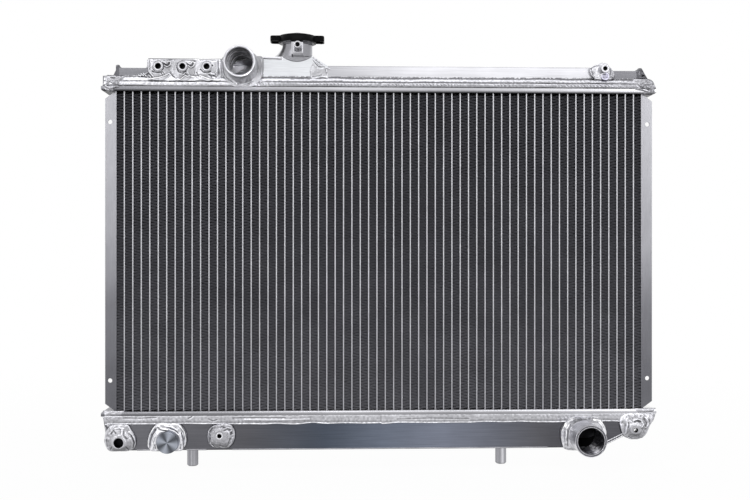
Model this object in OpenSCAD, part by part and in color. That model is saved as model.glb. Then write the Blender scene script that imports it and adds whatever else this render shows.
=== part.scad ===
// Aluminium car radiator: brazed fin and tube core between two welded tanks,
// with hose necks, tapped bosses, locating pins and a spring loaded filler cap.
// Origin: midpoint of the two locating pins, on the face of the lower tank that they stand on.
// +X along the tanks, +Y away from the hose necks, +Z up. Millimetres.

/* [Core] */
// Number of tube columns side by side
tube_count = 62; // [20:1:70]
// Number of tube rows through the depth of the core
tube_rows = 2; // [1:1:3]
// Thickness of one flat tube
tube_t = 2; // [1.6:0.1:3]
// Wall of a tube
tube_wall = 0.4; // [0.25:0.05:0.6]
// Height of one fin row, between two tubes
fin_h = 8.5; // [6:0.5:12]
// Depth of the core along the air path
core_d = 50; // [40:1:70]
// Gap between two tube rows
row_gap = 2; // [1:0.5:4]
// Length of tube between the two headers
core_h = 398; // [250:1:500]
// Thickness of the fin strip
fin_t = 0.2; // [0.1:0.05:0.3]
// Length of one full fold of the fin strip
fin_wave = 28; // [26:1:40]
// Length of fin crest that is brazed to the tube
fin_crest = 2; // [1:0.5:3]
// Free space between a fin strip and the header
fin_end_gap = 3; // [1:0.5:6]
// Core centre line, measured from the midpoint of the locating pins
core_x = 42; // [-80:1:80]

/* [Headers] */
// Sheet thickness of a header
header_t = 2; // [1.5:0.5:3]
// Header sheet beyond the core on each side of its depth
header_margin = 4.5; // [4.5:0.5:6]
// Header sheet beyond the core at each end
header_overhang = 18.25; // [18.25:0.25:25]
// Height of the header rim, plate thickness included
header_rim = 6; // [5:0.5:8]
// Outer bend radius of the header rim
header_bend = 3; // [2.5:0.5:3.5]
// Clearance round a tube in its header slot
slot_clear = 0.1; // [0.05:0.05:0.2]
// Tube end that stands through the header plate
tube_stand = 3; // [1:0.5:5]

/* [Side plates] */
// Sheet thickness of a side plate
plate_t = 1.5; // [1:0.5:2]
// Width of a side plate flange
plate_flange = 14; // [12:0.5:16]
// Drop of the slanted flange ends
plate_slant = 9; // [5:1:14]
// Radius of the flange holes
plate_hole_r = 2.75; // [2:0.25:3.5]
// Distance between the two flange holes
plate_hole_pitch = 322; // [180:2:360]
// Distance from the web of the plate to the flange holes
plate_hole_x = 8; // [6:0.5:9]

/* [Upper tank] */
// Sheet thickness of both tanks
tank_t = 2; // [1.5:0.5:3]
// Height of the tank foot over the core
foot_h = 19; // [17:1:21]
// Height of the low end sections over the core
low_h = 29; // [27:1:31]
// Height of the middle section over the core
middle_h = 33; // [32:1:36]
// Distance from the core edge out to the end plates
end_inset = 2.25; // [0:0.25:6]
// Thickness of an end plate
end_plate_t = 2.5; // [2:0.5:3]
// End plate above the low section
end_plate_rise = 4; // [2:0.5:6]
// Corner radius of an end plate
end_plate_round = 4; // [2:0.5:6]
// Left side of the raised section
raised_left = -290; // [-300:1:-286]
// Joint between boss block and inlet box
inlet_left = -199; // [-201:1:-199]
// Joint between inlet box and filler box
inlet_right = -147; // [-147:1:-145]
// Right side of the raised section
raised_right = -67; // [-67:1:-60]
// Height of the boss block over the core
block_h = 41; // [39:1:43]
// Height of the inlet and filler boxes over the core
box_h = 44; // [44:1:48]
// Run of the sloped right shoulder of the filler box
shoulder_run = 18; // [14:1:19]
// End of the middle section, under the gusset
middle_right = 288; // [284:1:292]

/* [Lower tank] */
// Height of the lower tank, up to the core
lower_h = 49; // [46:1:56]
// Start of the sloped right end
slope_start = 275; // [284:-1:268]
// Height at which the sloped right end stops
slope_top = 34; // [30:1:36]
// Lean of the left end plate
left_lean = 7; // [3:1:9]
// Outer bend radius of the lower edges
tank_bend = 2; // [1:0.5:2]

/* [Weld seams] */
// Height of the upper seam bead
upper_seam = 12; // [8:1:13]
// Height of the lower seam bead
lower_seam = 10; // [6:1:12]
// How far a seam bead stands out of the tank wall
seam_proud = 2.3; // [2:0.1:3]

/* [Hose necks] */
// Bore radius of a hose neck
neck_bore_r = 16.5; // [13:0.5:16.5]
// Wall of a hose neck
neck_wall = 3; // [1.5:0.5:3]
// Length of a hose neck from the tank wall
neck_len = 48; // [36:1:60]
// Inlet neck centre from the core centre line
inlet_x = -172.5; // [-174:0.5:-172]
// Inlet neck centre over the core
inlet_h = 29.5; // [29:0.5:30]
// Inlet flange that stays round the neck above the box
flange_collar = 3; // [2:0.5:4]
// Outlet neck centre from the core centre line
outlet_x = 253.5; // [240:0.5:254]
// Outlet neck centre over the tank face
outlet_z = 17; // [17:0.5:19]
// Radius of the inlet flange
inlet_flange_r = 26; // [24:0.5:26]
// Thickness of the inlet flange
inlet_flange_t = 4; // [2:0.5:6]
// Foot radius of the outlet saddle
saddle_r = 27; // [22:0.5:27]
// Length of the outlet saddle
saddle_len = 10; // [6:1:14]

/* [Tapped bosses] */
// Middle boss of the upper left row, from the core centre line
row_x = -247.5; // [-248:0.5:-244]
// Pitch of the upper left row
row_pitch = 30; // [24:1:32]
// Number of bosses in the upper left row
row_count = 3; // [1:1:3]
// Height of the upper left row over the core
row_h = 31; // [28:0.5:31.5]
// Outer radius of an upper left boss
row_boss_r = 6.5; // [5.5:0.5:7]
// Hole radius of an upper left boss
row_hole_r = 3.4; // [2.5:0.1:4.25]
// Upper right boss from the core centre line
right_boss_x = 281; // [279:1:283]
// Height of the upper right boss over the core
right_boss_h = 30.5; // [29:0.5:32]
// Outer radius of the upper right boss
right_boss_r = 5; // [4.5:0.5:6]
// Hole radius of the small bosses
small_hole_r = 2.5; // [2:0.1:3]
// Thickness of the gusset plate
gusset_t = 3; // [2:0.5:4]
// Width of the gusset plate
gusset_w = 30; // [28:1:32]
// Drain port from the core centre line
port_x = -325; // [-325:1:-318]
// Drain port over the tank face
port_z = 11; // [10.5:0.5:16]
// Hole radius of the drain port
port_hole_r = 5.6; // [4:0.1:6.5]
// Foot radius of the drain port
port_r = 17; // [12:0.5:18]
// Blank boss from the core centre line
blank_x = -265; // [-268:1:-262]
// Blank boss over the tank face
blank_z = 11.5; // [11:0.5:17]
// Radius of the turned face of the blank boss
blank_face_r = 13.5; // [10:0.5:14.5]
// Foot radius of the blank boss
blank_r = 22; // [18:0.5:23]
// Lower left boss from the core centre line
lower_boss_x = -201; // [-206:1:-196]
// Lower left boss over the tank face
lower_boss_z = 19; // [16:0.5:20]
// Foot radius of the lower left boss
lower_boss_r = 15; // [10:0.5:16]
// Lower right boss from the core centre line
corner_boss_x = 320; // [318:1:322]
// Lower right boss over the tank face
corner_boss_z = 23; // [22:0.5:27]
// Foot radius of the lower right boss
corner_boss_r = 9; // [7:0.5:10]
// Width of the lug plate behind the lower right boss
lug_w = 44; // [42:1:46]
// Thickness of the lug plate
lug_t = 3; // [2:0.5:4]
// How far the lower bosses stand out of the tank wall
boss_len = 9; // [8:0.5:12]

/* [Locating pins] */
// Distance between the two locating pins
pin_spacing = 394; // [300:2:420]
// Radius of a locating pin
pin_r = 7; // [5:0.5:9]
// Length of a locating pin
pin_len = 24.5; // [15:0.5:30]

/* [Filler neck] */
// Filler neck axis from the core centre line
filler_x = -106; // [-110:1:-106]
// Outer radius of the barrel
barrel_r = 18.75; // [18.25:0.25:18.75]
// Wall of the barrel
barrel_wall = 1.6; // [1.2:0.2:1.8]
// Height of the barrel, cam flange included
barrel_h = 23; // [22:0.5:26]
// Outer radius of the cam flange
cam_r = 22.25; // [21.75:0.25:22.5]
// Thickness of the cam flange
cam_t = 1.5; // [1:0.25:2]
// Half width of a cam flange notch
notch_half = 8; // [7:0.5:9]
// Radius of the concave foot of the barrel
foot_fillet = 8; // [4:0.5:8]
// Radius of the hole in the inner valve seat
seat_hole_r = 11; // [9:0.5:11.5]
// Thickness of the inner valve seat
seat_t = 2; // [1.5:0.25:2.5]
// Overflow nipple over the foot of the filler neck
nipple_h = 12; // [11:0.5:13]
// Outer radius of the overflow nipple
nipple_r = 4.5; // [3.5:0.25:4.5]
// Bore radius of the overflow nipple
nipple_bore_r = 2.6; // [1.5:0.1:2.8]
// Reach of the overflow nipple from the filler neck axis
nipple_reach = 46; // [40:1:65]
// How far the overflow nipple stands to the right of the filler neck axis
nipple_side = 2; // [0:0.5:2.5]

/* [Filler cap] */
// Radial clearance between cap skirt and cam flange
skirt_clear = 0.5; // [0.4:0.1:0.8]
// Sheet thickness of the cap cover
cover_t = 1.25; // [1:0.25:1.5]
// Width of the cap over both ears
ear_span = 68.5; // [60:0.5:74]
// Width of one ear
ear_w = 20; // [16:1:24]
// Height of the cap dome over the neck rim
dome_h = 11; // [11:0.5:14]
// Drop from the dome to the shoulder of the cap
dome_drop = 3.2; // [2:0.2:3.6]
// Half width of a locking tab
tab_half = 6; // [4:0.5:6.5]
// Axial clearance between parts that move past each other
move_clear = 0.3; // [0.2:0.05:0.4]
// Radial clearance of a sliding fit
slide_fit = 0.05; // [0.02:0.01:0.1]
// Thickness of the upper gasket
gasket_t = 1; // [0.8:0.1:1.5]
// Thickness of the spring disc
disc_t = 0.5; // [0.4:0.1:0.8]
// Radius of the rivet shank
rivet_r = 3; // [2.5:0.25:3.5]
// Outer radius of the bell
bell_r = 8; // [7.5:0.25:8.5]
// Sheet thickness of the bell
bell_t = 0.8; // [0.6:0.1:1]
// Length of the bell below the spring disc
bell_len = 15.5; // [15:0.25:16]
// Wire radius of the pressure spring
spring_wire_r = 0.8; // [0.6:0.1:1]
// Mean radius of the pressure spring
spring_r = 10.5; // [10:0.25:11]
// Turns of the pressure spring
spring_turns = 4; // [3:1:6]
// Outer radius of the pressure plate
valve_r = 13.5; // [12.5:0.25:14]
// Thickness of the pressure plate
valve_t = 1.2; // [1:0.1:1.5]
// Thickness of the pressure seal
seal_t = 1.6; // [1.2:0.1:2]
// Radius of the vacuum valve stem
stem_r = 1.5; // [1.25:0.05:1.75]
// Height of the hub on the pressure plate
hub_len = 9; // [8.5:0.25:9.5]

/* [Hidden] */
$fn = 64;
eps = 0.01;
over = 1;

silver = [0.80, 0.81, 0.82];
bright = [0.88, 0.89, 0.90];
dull = [0.55, 0.56, 0.58];
charcoal = [0.22, 0.22, 0.23];
gloss_black = [0.05, 0.05, 0.05];
seal_black = [0.12, 0.12, 0.12];
steel = [0.65, 0.65, 0.62];

pitch = tube_t + fin_h;
core_w = tube_count * pitch + fin_h;
tube_d = (core_d - (tube_rows - 1) * row_gap) / tube_rows;
core_bottom = lower_h;
core_top = lower_h + core_h;
core_mid = (core_bottom + core_top) / 2;

header_len = core_w + 2 * header_overhang;
header_d = core_d + 2 * header_margin;
tank_d = header_d - 2 * header_t;
tank_front = -tank_d / 2;
foot_half = header_len / 2 - header_t;
end_half = core_w / 2 - end_inset;

foot_top = core_top + foot_h;
low_top = core_top + low_h;
middle_top = core_top + middle_h;
block_top = core_top + block_h;
box_top = core_top + box_h;
row_z = core_top + row_h;
inlet_z = core_top + inlet_h;
right_boss_z = core_top + right_boss_h;

neck_r = neck_bore_r + neck_wall;
neck_mouth = tank_front - neck_len;

rim_z = box_top + barrel_h;
cam_low = rim_z - cam_t;
seat_z = box_top + seat_t;
barrel_bore_r = barrel_r - barrel_wall;
nipple_z = box_top + nipple_h;
nipple_foot = 2.8 * nipple_r;
nipple_root = barrel_r + nipple_foot - 1;

skirt_r = cam_r + skirt_clear;
cover_r = skirt_r + cover_t;
cover_top = rim_z + dome_h;
shoulder_z = cover_top - dome_drop;
gasket_z = rim_z + move_clear;
disc_z = gasket_z + gasket_t;
bell_low = disc_z - bell_len;
seal_z = seat_z + move_clear;
valve_z = seal_z + seal_t;
hub_r = bell_r - bell_t - 2 * bell_t;
hub_top = valve_z + valve_t + hub_len;

// A prism along Y, centred on y = 0, from an outline in the XZ plane
module across(depth) {
    rotate([90, 0, 0]) linear_extrude(depth, center = true) children();
}

// A prism along X, centred on x = 0, from an outline in the YZ plane
module along(length) {
    rotate([90, 0, 90]) linear_extrude(length, center = true) children();
}

// A round bar along Y from front to back
module bar_y(x, z, front, back, r) {
    translate([x, back, z]) rotate([90, 0, 0]) cylinder(h = back - front, r = r);
}

// A turned piece along -Y: the profile's second coordinate is the distance in front of y
module turned_y(x, y, z) {
    translate([x, y, z]) rotate([90, 0, 0]) rotate_extrude() children();
}

// Flat tube outline, swept up Z
module stadium(t, d, h) {
    translate([-t / 2, -d / 2 + t / 2, 0]) cube([t, d - t, h]);
    for (s = [-1, 1]) translate([0, s * (d / 2 - t / 2), 0]) cylinder(h = h, r = t / 2);
}

// Every tube place: columns across the core, rows through its depth
module at_tubes() {
    for (i = [0 : tube_count - 1], j = [0 : tube_rows - 1])
        translate([(i - (tube_count - 1) / 2) * pitch,
            (j - (tube_rows - 1) / 2) * (tube_d + row_gap), 0]) children();
}

module tubes() {
    stand = header_t + tube_stand;
    color(bright) translate([core_x, 0, core_bottom - stand]) at_tubes() difference() {
        stadium(tube_t, tube_d, core_h + 2 * stand);
        translate([0, 0, -over])
            stadium(tube_t - 2 * tube_wall, tube_d - 2 * tube_wall, core_h + 2 * stand + 2 * over);
    }
}

// One folded strip: flat crests lie on the tubes, straight flanks cross the air path
module fin_strip() {
    half = fin_wave / 2;
    folds = floor((core_h - 2 * fin_end_gap - fin_crest) / half);
    lean = atan2(fin_h, half - fin_crest);
    trim = fin_t * tan(lean / 2);
    outer = fin_h / 2;
    inner = fin_h / 2 - fin_t;
    left = [for (i = [0 : folds], e = [-1, 1])
        i % 2 == 0 ? [-outer, i * half + e * fin_crest / 2]
                   : [inner, i * half + e * (fin_crest / 2 - trim)]];
    right = [for (i = [folds : -1 : 0], e = [1, -1])
        i % 2 == 0 ? [-inner, i * half + e * (fin_crest / 2 - trim)]
                   : [outer, i * half + e * fin_crest / 2]];
    translate([0, 0, core_mid - folds * half / 2]) across(core_d) polygon(concat(left, right));
}

module fins() {
    color(charcoal) translate([core_x, 0, 0]) for (i = [0 : tube_count])
        translate([(i - tube_count / 2) * pitch, 0, 0]) fin_strip();
}

// Outline of a tray seen end on: flat plate, round bends, upright rims
module tray_outline(width, r, height) {
    translate([-width / 2 + r, 0]) square([width - 2 * r, height]);
    translate([-width / 2, r]) square([width, height - r]);
    for (s = [-1, 1]) translate([s * (width / 2 - r), r]) circle(r);
}

// Room inside a header tray, which a tank foot fills: round along its bottom edges
module tray_room(height) {
    inside_r = header_bend - header_t;
    intersection() {
        along(2 * foot_half) tray_outline(tank_d, inside_r, height);
        across(tank_d) tray_outline(2 * foot_half, inside_r, height);
    }
}

// Header as a shallow tray: its plate lies on z = 0 and its rims point up
module header_tray() {
    difference() {
        intersection() {
            along(header_len) tray_outline(header_d, header_bend, header_rim);
            across(header_d) tray_outline(header_len, header_bend, header_rim);
        }
        translate([0, 0, header_t]) tray_room(header_rim);
        translate([0, 0, -over]) at_tubes()
            stadium(tube_t + 2 * slot_clear, tube_d + 2 * slot_clear, header_t + 2 * over);
    }
}

module upper_header() {
    color(silver) translate([core_x, 0, core_top]) header_tray();
}

module lower_header() {
    color(silver) translate([core_x, 0, core_bottom]) mirror([0, 0, 1]) header_tray();
}

// C channel with its web on x = 0 and its flanges towards +x
module side_plate() {
    difference() {
        intersection() {
            translate([0, 0, core_bottom]) linear_extrude(core_h) difference() {
                translate([0, -core_d / 2]) square([plate_flange, core_d]);
                translate([plate_t, -core_d / 2 + plate_t]) square([plate_flange, core_d - 2 * plate_t]);
            }
            across(core_d) polygon([[0, core_bottom], [plate_t, core_bottom],
                [plate_flange, core_bottom + plate_slant], [plate_flange, core_top - plate_slant],
                [plate_t, core_top], [0, core_top]]);
        }
        for (s = [-1, 1])
            bar_y(plate_hole_x, core_mid + s * plate_hole_pitch / 2,
                -core_d / 2 - over, core_d / 2 + over, plate_hole_r);
    }
}

module right_side_plate() {
    color(bright) translate([core_x + core_w / 2, 0, 0]) side_plate();
}

module left_side_plate() {
    color(bright) translate([core_x - core_w / 2, 0, 0]) mirror([1, 0, 0]) side_plate();
}

// Side view of the upper tank, shrunk by one sheet thickness for its inside
module upper_outline(t) {
    foot = core_top + header_t;
    polygon([[-foot_half + t, foot - t], [-foot_half + t, foot_top - t], [-end_half - t, foot_top - t],
        [-end_half - t, low_top - t], [inlet_left, low_top - t], [inlet_right, middle_top - t],
        [middle_right - 4, middle_top - t], [middle_right, low_top - t],
        [end_half + t, low_top - t], [end_half + t, foot_top - t],
        [foot_half - t, foot_top - t], [foot_half - t, foot - t]]);
}

module upper_tank() {
    color(silver) translate([core_x, 0, 0]) difference() {
        intersection() {
            across(tank_d) upper_outline(0);
            translate([0, 0, core_top + header_t]) tray_room(box_h);
        }
        across(tank_d - 2 * tank_t) upper_outline(tank_t);
        translate([raised_left, -tank_d, foot_top]) cube([raised_right - raised_left, 2 * tank_d, 2 * foot_h]);
        bar_y(inlet_x, inlet_z, -tank_d, 0, neck_bore_r);
    }
}

module upper_tank_ends() {
    rise = low_top + end_plate_rise - foot_top;
    color(silver) for (s = [-1, 1])
        translate([core_x + s * (end_half + end_plate_t / 2), 0, foot_top]) mirror([0, 0, 1])
            translate([0, 0, -rise]) along(end_plate_t) tray_outline(tank_d, end_plate_round, rise);
}

// Folded hood on the raised part of the tank: front, top and back, from x0 to x1
module hood(x0, x1, top) {
    translate([(x0 + x1) / 2, 0, 0]) difference() {
        translate([-(x1 - x0) / 2, tank_front, foot_top]) cube([x1 - x0, tank_d, top - foot_top]);
        translate([-(x1 - x0) / 2 - over, tank_front + tank_t, foot_top - over])
            cube([x1 - x0 + 2 * over, tank_d - 2 * tank_t, top - foot_top - tank_t + over]);
    }
}

// Places of the tapped bosses in the upper left row
row_places = [for (i = [0 : row_count - 1]) row_x + (i - (row_count - 1) / 2) * row_pitch];
row_boss_out = 3;
row_boss_in = 12;

module boss_block() {
    color(silver) translate([core_x, 0, 0]) difference() {
        union() {
            hood(raised_left, inlet_left, block_top);
            translate([raised_left, tank_front, low_top - tank_t])
                cube([tank_t, tank_d, block_top - low_top + tank_t]);
        }
        for (x = row_places) bar_y(x, row_z, -tank_d, 0, row_boss_r);
    }
}

// Passage of the inlet: the neck bore, cut off level under the roof of the inlet box
module inlet_passage() {
    difference() {
        bar_y(inlet_x, inlet_z, -tank_d, 0, neck_bore_r);
        translate([inlet_x - neck_bore_r - over, -tank_d - over, box_top - tank_t])
            cube([2 * (neck_bore_r + over), tank_d + 2 * over, neck_bore_r]);
    }
}

module inlet_box() {
    color(silver) translate([core_x, 0, 0]) difference() {
        hood(inlet_left, inlet_right, box_top);
        inlet_passage();
    }
}

// Side view of the filler box: square on the left, sloped shoulder on the right.
// A sheet thickness t gives its inside, which runs out at both ends.
module filler_outline(t) {
    out = t > 0 ? over : 0;
    polygon([[inlet_right - out, foot_top - out], [inlet_right - out, box_top - t],
        [raised_right - shoulder_run - t / 2, box_top - t], [raised_right, middle_top - t],
        [raised_right + out, middle_top - t], [raised_right + out, foot_top - out]]);
}

module filler_box() {
    color(bright) translate([core_x, 0, 0]) difference() {
        across(tank_d) filler_outline(0);
        across(tank_d - 2 * tank_t) filler_outline(tank_t);
        translate([filler_x, 0, foot_top]) cylinder(h = box_h, r = seat_hole_r);
    }
}

module upper_left_bosses() {
    color(bright) translate([core_x, 0, 0]) for (x = row_places) difference() {
        bar_y(x, row_z, tank_front - row_boss_out, tank_front + row_boss_in, row_boss_r);
        bar_y(x, row_z, tank_front - row_boss_out - over, tank_front + row_boss_in - 2, row_hole_r);
    }
}

// Gusset behind the upper right boss, standing on the tank wall and rising over the tank
module upper_right_gusset() {
    low = core_top + header_rim + upper_seam;
    color(bright) translate([core_x, tank_front - gusset_t / 2, 0]) difference() {
        across(gusset_t) polygon([[right_boss_x - 0.4 * gusset_w, low],
            [right_boss_x - 0.53 * gusset_w, middle_top - gusset_t / 3],
            [right_boss_x - 0.1 * gusset_w, right_boss_z + 1.7 * right_boss_r],
            [right_boss_x + 0.13 * gusset_w, right_boss_z + 1.4 * right_boss_r],
            [right_boss_x + 0.47 * gusset_w, low + 0.2 * gusset_w], [right_boss_x + 0.3 * gusset_w, low]]);
        bar_y(right_boss_x, right_boss_z, -gusset_t, gusset_t, right_boss_r);
    }
}

module upper_right_boss() {
    front = tank_front - boss_len;
    color(bright) translate([core_x, 0, 0]) difference() {
        bar_y(right_boss_x, right_boss_z, front, tank_front, right_boss_r);
        bar_y(right_boss_x, right_boss_z, front - over, tank_front - 1, small_hole_r);
    }
}

// Hose neck with a round lip; its foot stands root in front of the tank wall
module hose_neck(x, z, root) {
    length = neck_len - root - neck_wall / 2;
    turned_y(x, tank_front - root, z) union() {
        translate([neck_bore_r, 0]) square([neck_wall, length]);
        translate([neck_bore_r + neck_wall / 2, length]) circle(neck_wall / 2);
    }
}

module inlet_neck() {
    color(bright) translate([core_x, 0, 0]) hose_neck(inlet_x, inlet_z, inlet_flange_t);
}

module outlet_neck() {
    color(bright) translate([core_x, 0, 0]) hose_neck(outlet_x, outlet_z, saddle_len);
}

// Inlet flange before its passage is cut: round below, square above, a collar round the neck
module flange_body() {
    front = tank_front - inlet_flange_t;
    difference() {
        union() {
            bar_y(inlet_x, inlet_z, front, tank_front, inlet_flange_r);
            translate([inlet_x - inlet_flange_r, front, inlet_z])
                cube([2 * inlet_flange_r, inlet_flange_t, box_top - inlet_z]);
        }
        difference() {
            translate([inlet_x - 2 * inlet_flange_r, front - over, box_top])
                cube([4 * inlet_flange_r, inlet_flange_t + 2 * over, inlet_flange_r]);
            bar_y(inlet_x, inlet_z, front - 2 * over, tank_front + 2 * over, neck_r + flange_collar);
        }
        translate([inlet_x - 2 * inlet_flange_r, front - over, core_top + header_rim - inlet_flange_r])
            cube([4 * inlet_flange_r, inlet_flange_t + 2 * over, inlet_flange_r]);
    }
}

module inlet_flange() {
    color(silver) translate([core_x, 0, 0]) difference() {
        flange_body();
        inlet_passage();
    }
}

// Block under the overflow nipple, hollowed to sit on the barrel
module nipple_block() {
    difference() {
        translate([-nipple_foot / 2, -nipple_root, -2 * nipple_r]) cube([nipple_foot, nipple_foot, 3.4 * nipple_r]);
        translate([0, 0, -2 * nipple_foot]) cylinder(h = 4 * nipple_foot, r = barrel_r);
    }
}

module filler_neck() {
    foot_r = barrel_r + foot_fillet;
    side = raised_right - shoulder_run;
    color(bright) translate([core_x, 0, box_top]) difference() {
        translate([filler_x, 0, 0]) rotate_extrude() difference() {
            union() {
                square([foot_r, foot_fillet]);
                square([barrel_r, barrel_h]);
                translate([0, barrel_h - cam_t]) square([cam_r, cam_t]);
            }
            translate([foot_r, foot_fillet]) circle(foot_fillet);
            translate([0, -over]) square([seat_hole_r, barrel_h + 2 * over]);
            translate([0, seat_t]) square([barrel_bore_r, barrel_h]);
        }
        translate([filler_x, 0, barrel_h - cam_t - over]) intersection() {
            difference() {
                cylinder(h = cam_t + 2 * over, r = cam_r + over);
                cylinder(h = cam_t + 2 * over, r = barrel_r);
            }
            translate([-notch_half, -2 * cam_r, 0]) cube([2 * notch_half, 4 * cam_r, cam_t + 2 * over]);
        }
        translate([side + eps, -barrel_h * 2, -over]) cube([foot_r, barrel_h * 4, foot_fillet + over]);
        bar_y(filler_x + nipple_side, nipple_h, -nipple_reach, 0, nipple_bore_r);
        translate([filler_x, 0, nipple_h]) nipple_block();
    }
}

module overflow_nipple() {
    lip_r = (nipple_r - nipple_bore_r) / 2;
    color(bright) translate([core_x + filler_x, 0, nipple_z]) difference() {
        union() {
            bar_y(nipple_side, 0, -nipple_reach + lip_r, -nipple_root, nipple_r);
            turned_y(nipple_side, -nipple_reach + lip_r, 0) translate([nipple_r - lip_r, 0]) circle(lip_r);
            nipple_block();
        }
        bar_y(nipple_side, 0, -nipple_reach - over, 0, nipple_bore_r);
    }
}

// Side view of the lower tank: leaning left end, flat face, sloped right end
module lower_outline(t) {
    top = core_bottom - header_t;
    rim = core_bottom - header_rim;
    polygon([[-foot_half + left_lean + t, t], [slope_start - t / 3, t], [foot_half - 4 - t, slope_top + t / 2],
        [foot_half - t, rim], [foot_half - t, top + t], [-foot_half + t, top + t], [-foot_half + t, rim]]);
}

module lower_tank() {
    color(dull) translate([core_x, 0, 0]) difference() {
        intersection() {
            across(tank_d) lower_outline(0);
            along(2 * header_len) tray_outline(tank_d, tank_bend, core_bottom);
            translate([0, 0, core_bottom - header_t]) mirror([0, 0, 1]) tray_room(core_bottom);
        }
        across(tank_d - 2 * tank_t) lower_outline(tank_t);
        translate([-header_len, -tank_d / 2 + tank_t, tank_t])
            cube([header_len - foot_half + left_lean + tank_t, tank_d - 2 * tank_t, core_bottom]);
        translate([foot_half - 4 - tank_t, -tank_d / 2 + tank_t, slope_top + tank_t / 2])
            cube([header_len, tank_d - 2 * tank_t, core_bottom]);
        difference() {
            bar_y(outlet_x, outlet_z, -tank_d, tank_front + tank_t + eps, neck_bore_r);
            translate([outlet_x - 2 * neck_r, -tank_d - over, -neck_r]) cube([4 * neck_r, tank_d, neck_r + tank_t]);
        }
    }
}

module lower_tank_ends() {
    inside = tank_d - 2 * tank_t;
    color(silver) translate([core_x, 0, 0]) difference() {
        intersection() {
            across(inside) lower_outline(0);
            translate([0, 0, core_bottom - header_t]) mirror([0, 0, 1]) tray_room(core_bottom);
        }
        across(tank_d) lower_outline(tank_t);
        translate([-foot_half + left_lean + tank_t, -tank_d, -over])
            cube([foot_half * 2 - left_lean - 2 * tank_t - 4, 2 * tank_d, core_bottom]);
        translate([-header_len, -tank_d, -over]) cube([2 * header_len, 2 * tank_d, tank_t + over]);
        translate([0, -tank_d, -over]) cube([header_len, 2 * tank_d, slope_top + tank_t / 2 + over]);
    }
}

// Cone round the outlet neck, cut level with the tank face
module saddle_body() {
    turned_y(outlet_x, tank_front, outlet_z)
        polygon([[0, 0], [saddle_r, 0], [neck_r + 1, saddle_len], [0, saddle_len]]);
}

module outlet_saddle() {
    color(silver) translate([core_x, 0, 0]) difference() {
        saddle_body();
        bar_y(outlet_x, outlet_z, tank_front - saddle_len - over, tank_front + over, neck_bore_r);
        translate([outlet_x - 2 * saddle_r, -tank_d, -saddle_r])
            cube([4 * saddle_r, tank_d, saddle_r]);
    }
}

// Turned boss on the lower tank: wide foot, smaller face, level cut at the tank face
module boss_body(x, z, foot_r, face_r, length) {
    difference() {
        turned_y(x, tank_front, z)
            polygon([[0, 0], [foot_r, 0], [foot_r, 2], [face_r + 1, length - 1.5], [face_r, length], [0, length]]);
        translate([x - 2 * foot_r, -tank_d, -foot_r]) cube([4 * foot_r, tank_d, foot_r]);
    }
}

module tapped(x, z, length, r) {
    difference() {
        children();
        bar_y(x, z, tank_front - length - over, tank_front - 1, r);
    }
}

module drain_port() {
    color(silver) translate([core_x, 0, 0]) tapped(port_x, port_z, boss_len, port_hole_r)
        boss_body(port_x, port_z, port_r, port_hole_r + 2.4, boss_len);
}

module blank_boss() {
    rim_len = 8;
    color(bright) translate([core_x, 0, 0]) union() {
        boss_body(blank_x, blank_z, blank_r, blank_face_r + 2, rim_len);
        bar_y(blank_x, blank_z, tank_front - rim_len - 4, tank_front - rim_len, blank_face_r);
    }
}

module lower_left_boss() {
    color(silver) translate([core_x, 0, 0]) tapped(lower_boss_x, lower_boss_z, boss_len, small_hole_r)
        boss_body(lower_boss_x, lower_boss_z, lower_boss_r, lower_boss_r - 4, boss_len);
}

// Lug plate of the lower right boss: it lies on the tank wall and fills the corner under the slope
module corner_lug() {
    w = lug_w;
    top = core_bottom - header_rim - lower_seam - corner_boss_z;
    translate([corner_boss_x, tank_front - lug_t / 2, corner_boss_z]) across(lug_t)
        polygon([[-w / 2, -0.25 * w], [-0.32 * w, -0.29 * w], [-0.02 * w, -0.31 * w], [0.28 * w, -0.24 * w],
            [0.55 * w, 0.16 * w], [0.55 * w, top], [-w / 2, top]]);
}

module lower_right_boss() {
    color(silver) translate([core_x, 0, 0]) tapped(corner_boss_x, corner_boss_z, boss_len, small_hole_r) union() {
        boss_body(corner_boss_x, corner_boss_z, corner_boss_r, corner_boss_r - 3, boss_len);
        corner_lug();
    }
}

module locating_pins() {
    chamfer = 0.2 * pin_r;
    color(silver) for (s = [-1, 1]) translate([s * pin_spacing / 2, 0, 0]) mirror([0, 0, 1])
        rotate_extrude() polygon([[0, 0], [pin_r, 0], [pin_r, pin_len - chamfer],
            [pin_r - chamfer, pin_len], [0, pin_len]]);
}

// Section of a seam bead: it lies on the header rim and leans on the tank wall
module bead_outline(height) {
    polygon([[0, 0], [header_t, 0], [seam_proud, height * 0.25], [seam_proud, height * 0.6],
        [header_t * 0.6, height * 0.9], [0, height]]);
}

// Seam bead round a tank foot, resting on z = 0
module seam(height) {
    for (s = [-1, 1]) {
        along(2 * foot_half) translate([s * tank_d / 2, 0]) mirror([s < 0 ? 1 : 0, 0]) bead_outline(height);
        across(header_d) translate([s * foot_half, 0]) mirror([s < 0 ? 1 : 0, 0]) bead_outline(height);
    }
}

module upper_seam_weld() {
    color(silver) translate([core_x, 0, 0]) difference() {
        translate([0, 0, core_top + header_rim]) seam(upper_seam);
        flange_body();
    }
}

module lower_seam_weld() {
    color(silver) translate([core_x, 0, 0]) difference() {
        translate([0, 0, core_bottom - header_rim]) mirror([0, 0, 1]) seam(lower_seam);
        saddle_body();
        boss_body(blank_x, blank_z, blank_r, blank_face_r + 2, boss_len);
        boss_body(corner_boss_x, corner_boss_z, corner_boss_r, corner_boss_r - 3, boss_len);
    }
}

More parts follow.
